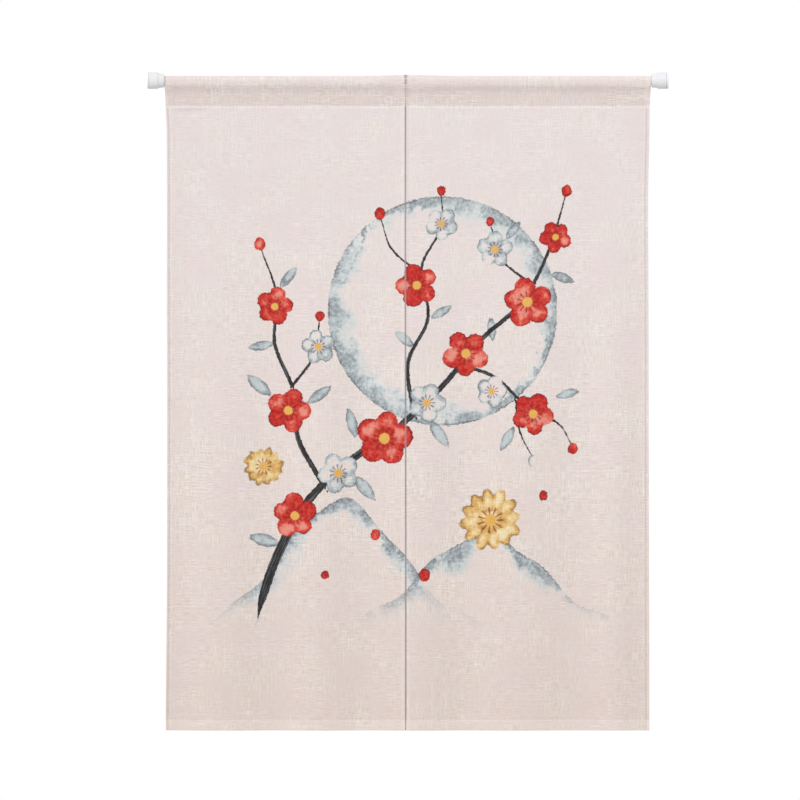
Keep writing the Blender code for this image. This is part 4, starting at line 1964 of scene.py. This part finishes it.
def turned_piece(
    name: str, profile: Array, side: Side, material: bpy.types.Material, sides: int = 72
) -> bpy.types.Object:
    """Turns a profile about the rod's axis: each point goes round a circle of its own radius.

    Args:
        name: The piece's name.
        profile: Rows of (radius, distance from the middle of the rod); the first and the last
            lie on the axis, or on one closed outline round a bore.
        side: The end of the rod that it belongs to.
        material: Its finish.
        sides: Faces round the axis.

    Returns:
        The piece, with poles where the profile meets the axis.
    """
    radius, along = profile[1:-1, 0], profile[1:-1, 1]
    turn = np.linspace(0, 2 * np.pi, sides, endpoint=False)
    x = side.value * np.broadcast_to(along[:, None], (len(along), sides))
    y = radius[:, None] * np.cos(turn)
    z = radius[:, None] * np.sin(turn)
    rings = np.stack((x, y, z), axis=-1).reshape(-1, 3)
    poles = np.array(((side.value * profile[0, 1], 0, 0), (side.value * profile[-1, 1], 0, 0)))
    first = np.arange(len(along) - 1)[:, None] * sides
    here = np.arange(sides)[None, :]
    beside = (here + 1) % sides
    quads = np.stack(
        (first + here, first + sides + here, first + sides + beside, first + beside), axis=-1
    ).reshape(-1, 4)
    start = len(along) * sides
    last = (len(along) - 1) * sides
    low = np.stack((np.full(sides, start), here[0], beside[0]), axis=-1)
    high = np.stack((np.full(sides, start + 1), last + beside[0], last + here[0]), axis=-1)
    triangles = np.vstack((low, high))
    if side is Side.LEFT:
        quads, triangles = quads[:, ::-1], triangles[:, ::-1]
    return make_piece(name, np.vstack((rings, poles)), quads, triangles, material, 35)


@dataclass
class RodEnd:
    """One end of the tension rod: the moulded cap with its collar, and the rubber foot."""

    side: Side
    rod_length: float = 0.932
    rod_radius: float = 0.0065
    radius: float = 0.0148
    foot_thickness: float = 0.0030
    foot_edge: float = 0.0018
    cap_body: float = 0.0160
    cap_edge: float = 0.0010
    collar_radius: float = 0.0132
    collar_tip_radius: float = 0.0120
    collar_length: float = 0.0108
    collar_edge: float = 0.0002
    shoulder_fillet: float = 0.0009
    socket_depth: float = 0.0180
    gap: float = 0.0003

    def corner(self, radius: float, along: float, edge: float, start: float) -> Array:
        """A quarter round of six points.

        Args:
            radius: Radius of the round's own centre.
            along: Distance of that centre from the middle of the rod.
            edge: The round's radius.
            start: Where it starts, in quarter turns from the rod's outward direction.

        Returns:
            Rows of (radius, distance), turning away from the rod's outward direction.
        """
        turn = (start + np.linspace(0, 1, 6)) * np.pi / 2
        return np.column_stack((radius + edge * np.sin(turn), along + edge * np.cos(turn)))

    def foot(self, material: bpy.types.Material) -> bpy.types.Object:
        """Turns the foot: a flat pad with a rounded rim and two shallow grooves in its face.

        Args:
            material: The rubber.

        Returns:
            The foot's piece.
        """
        outer = self.rod_length / 2
        inner = outer - self.foot_thickness
        face = [(0.0, outer)]
        for middle in (0.0050, 0.0092):
            face += [(middle - 0.0006, outer), (middle - 0.0003, outer - 0.0003)]
            face += [(middle + 0.0003, outer - 0.0003), (middle + 0.0006, outer)]
        edge = self.foot_edge
        rim = self.corner(self.radius - edge, outer - edge, edge, 0.0)
        back = [(self.radius, inner + 0.0002), (self.radius - 0.0002, inner), (0.0, inner)]
        profile = np.vstack((face, rim, back))
        name = "foot_" + self.side.name.lower()
        piece = turned_piece(name + "_pad", profile, self.side, material)
        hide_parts(name)
        return piece

    def cap(self, material: bpy.types.Material) -> bpy.types.Object:
        """Turns the cap: rounded body, filleted shoulder, tapered collar with a rounded lip, and
        the socket that the rod's end sits in.

        Args:
            material: The moulded plastic.

        Returns:
            The cap's piece.
        """
        face = self.rod_length / 2 - self.foot_thickness - self.gap
        shoulder = face - self.cap_body
        tip = shoulder - self.collar_length
        bore = self.rod_radius + self.gap
        end = tip + self.socket_depth + self.gap
        edge, lip, fillet = self.cap_edge, self.collar_edge, self.shoulder_fillet
        body = np.vstack(
            (
                [(0.0, face)],
                self.corner(self.radius - edge, face - edge, edge, 0.0),
                self.corner(self.radius - edge, shoulder + edge, edge, 1.0),
            )
        )
        turn = np.linspace(0, 1, 6) * np.pi / 2
        neck = np.column_stack(
            (
                self.collar_radius + fillet * (1 - np.sin(turn)),
                shoulder - fillet * (1 - np.cos(turn)),
            )
        )
        mouth = self.corner(self.collar_tip_radius - lip, tip + lip, lip, 1.0)
        inside = [(bore + 0.0003, tip), (bore, tip + 0.0003), (bore, end), (0.0, end)]
        profile = np.vstack((body, neck, mouth, inside))
        name = "cap_" + self.side.name.lower()
        piece = turned_piece(name + "_moulding", profile, self.side, material)
        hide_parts(name)
        return piece


# ---------------------------------------------------------------- the studio


@dataclass(frozen=True)
class Lamp:
    """One soft rectangular lamp."""

    name: str
    place: tuple[float, float, float]
    aim: tuple[float, float, float]
    size: tuple[float, float]
    power: float
    colour: str


@dataclass
class Studio:
    """White surroundings, two large soft lamps, a pale floor below, and the camera."""

    frame_width: float = 1.4304  # what the camera takes in at the rod's plane
    frame_middle: tuple[float, float] = (-0.0140, -0.5711)
    distance: float = 12.0
    sensor: float = 36.0
    lamps: tuple[Lamp, ...] = (
        Lamp("side_lamp", (-14.7, -13.1, 7.4), (0.0, 0.0, -0.6), (7.0, 7.0), 1230.0, "#ffffff"),
        Lamp("top_lamp", (1.3, -1.8, 1.5), (0.2, 0.0, -0.3), (1.6, 0.8), 11.5, "#eef5ff"),
    )
    dome: float = 0.92  # the surround's strength above, where the horizon's is 1
    pit: float = 0.50  # and below
    floor_z: float = -1.95
    floor_half: float = 3.0

    def camera(self) -> bpy.types.Object:
        """Sets the camera level, square to the curtain, at the photograph's frame.

        Returns:
            The camera's object.
        """
        data = bpy.data.cameras.new("camera")
        data.sensor_width = self.sensor
        data.lens = self.sensor * self.distance / self.frame_width
        camera = bpy.data.objects.new("camera", data)
        camera.location = (self.frame_middle[0], -self.distance, self.frame_middle[1])
        camera.rotation_euler = (math.pi / 2, 0, 0)
        bpy.context.scene.collection.objects.link(camera)
        bpy.context.scene.camera = camera
        return camera

    def surround(self) -> None:
        """Sets the white surround: full white round the horizon, a little less above and least
        below, so that rounded forms are darker underneath."""
        scene = bpy.context.scene
        world = bpy.data.worlds.new("white_surround")
        world.use_nodes = True
        tree = world.node_tree
        heading = add_node(tree, "ShaderNodeTexCoord").outputs["Generated"]
        rise = add_node(tree, "ShaderNodeSeparateXYZ", {0: heading}).outputs["Z"]
        above = add_node(
            tree,
            "ShaderNodeMapRange",
            {"Value": rise, "From Min": 0.20, "From Max": 0.40, "To Min": 1.0, "To Max": self.dome},
        )
        below = add_node(
            tree,
            "ShaderNodeMapRange",
            {"Value": rise, "From Min": -0.55, "From Max": -0.40, "To Min": self.pit},
        )
        strength = add_node(tree, "ShaderNodeMath", {0: above, 1: below}, operation="MULTIPLY")
        background = tree.nodes["Background"]
        background.inputs["Color"].default_value = (1, 1, 1, 1)
        tree.links.new(strength.outputs[0], background.inputs["Strength"])
        scene.world = world
        scene.view_settings.view_transform = "Standard"

    def hang_lamps(self) -> None:
        """Hangs each lamp at its place and turns it to its aim."""
        for lamp in self.lamps:
            data = bpy.data.lights.new(lamp.name, "AREA")
            data.shape = "RECTANGLE"
            data.size, data.size_y = lamp.size
            data.energy = lamp.power
            data.color = hex_to_linear(lamp.colour)[:3]
            thing = bpy.data.objects.new(lamp.name, data)
            thing.location = lamp.place
            toward = np.array(lamp.aim) - np.array(lamp.place)
            level = math.hypot(toward[0], toward[1])
            thing.rotation_euler = (
                math.pi / 2 + math.atan2(toward[2], level),
                0,
                math.atan2(-toward[0], toward[1]),
            )
            bpy.context.scene.collection.objects.link(thing)

    def floor(self, material: bpy.types.Material) -> bpy.types.Object:
        """Lays a plain square floor, below what the front view takes in.

        Args:
            material: The painted floor.

        Returns:
            The floor's object.
        """
        half, z = self.floor_half, self.floor_z
        corners = [(-half, -half, z), (half, -half, z), (half, half, z), (-half, half, z)]
        mesh = bpy.data.meshes.new("floor")
        mesh.from_pydata(corners, [], [(0, 1, 2, 3)])
        mesh.materials.append(material)
        floor = bpy.data.objects.new("floor", mesh)
        bpy.context.scene.collection.objects.link(floor)
        return floor


def main() -> None:
    """Builds the pieces in order, from the cloth to the studio."""
    logging.basicConfig(level=logging.INFO, format="%(message)s")
    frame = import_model()

    shape, art = ClothShape(), Artwork()
    linen = PrintedLinen().make()
    seam_thread = SpunThread("Spun_pale_seam_thread", "#fdf9f7", "#ece4e1").make()
    # The side hem's thread is darker than the cloth: painted shade for the dimples between its
    # stitches.
    side_thread = SpunThread("Spun_hem_thread_painted_shade", "#c2b3b1", "#a39593").make()
    foot_thread = SpunThread("Spun_matched_hem_thread", "#dccfca", "#c9bcb7").make()
    # The overlock thread is grey, darker than the cloth: partly the thread's own colour, partly painted
    # shade for the dark line down the slit between the two panels.
    slit_thread = SpunThread("Spun_overlock_thread_painted_slit_shade", "#b3a8a7", "#948a89").make()
    enamel = SmoothCoat(
        "Powder_enamelled_steel", "#e6e5e6", "#dcd8d0", 0.35, 0.06, 0.0016, 0.00004, 0.25
    ).make()
    plastic = SmoothCoat(
        "Moulded_white_ABS", "#dddcdf", "#d5d2d0", 0.40, 0.07, 0.0007, 0.00003, 0.20
    ).make()
    rubber = SmoothCoat(
        "Moulded_grey_rubber", "#ececee", "#e0deda", 0.70, 0.08, 0.0010, 0.00006, 0.40
    ).make()
    floor_paint = SmoothCoat(
        "Painted_pale_floor", "#cccac7", "#c6c3bf", 0.80, 0.05, 0.0100, 0.00010, 0.30
    ).make()

    panels = {side: Panel(side, shape, art) for side in Side}
    for side, panel in panels.items():
        cloth = panel.build(linen)
        stitches = Stitches(panel)
        sewn = [
            Stitches(panel, radius=0.00060, sink=0.0002).seam(seam_thread),
            stitches.side_hem(side_thread),
            stitches.bottom_hem(foot_thread),
        ]
        sewn.append(SlitBinding(panel).build(slit_thread))
        if side is Side.LEFT:
            sewn += SlitTacks(panel).build(slit_thread)
        panel.flat_size()
        LOG.info("%s: %d faces", cloth.name, len(cloth.data.polygons))
        for piece in sewn:
            LOG.info("%s: %d faces", piece.name, len(piece.data.polygons))

    rod = frame["nodes"]["rod"]
    for number in range(len(rod.data.materials)):
        rod.material_slots[number].material = enamel
    LOG.info("rod: dressed in %s", enamel.name)
    for side in Side:
        end = RodEnd(side)
        for piece in (end.cap(plastic), end.foot(rubber)):
            LOG.info("%s: %d faces", piece.name, len(piece.data.polygons))

    studio = Studio()
    studio.camera()
    studio.surround()
    studio.hang_lamps()
    studio.floor(floor_paint)


if __name__ == "__main__":
    main()
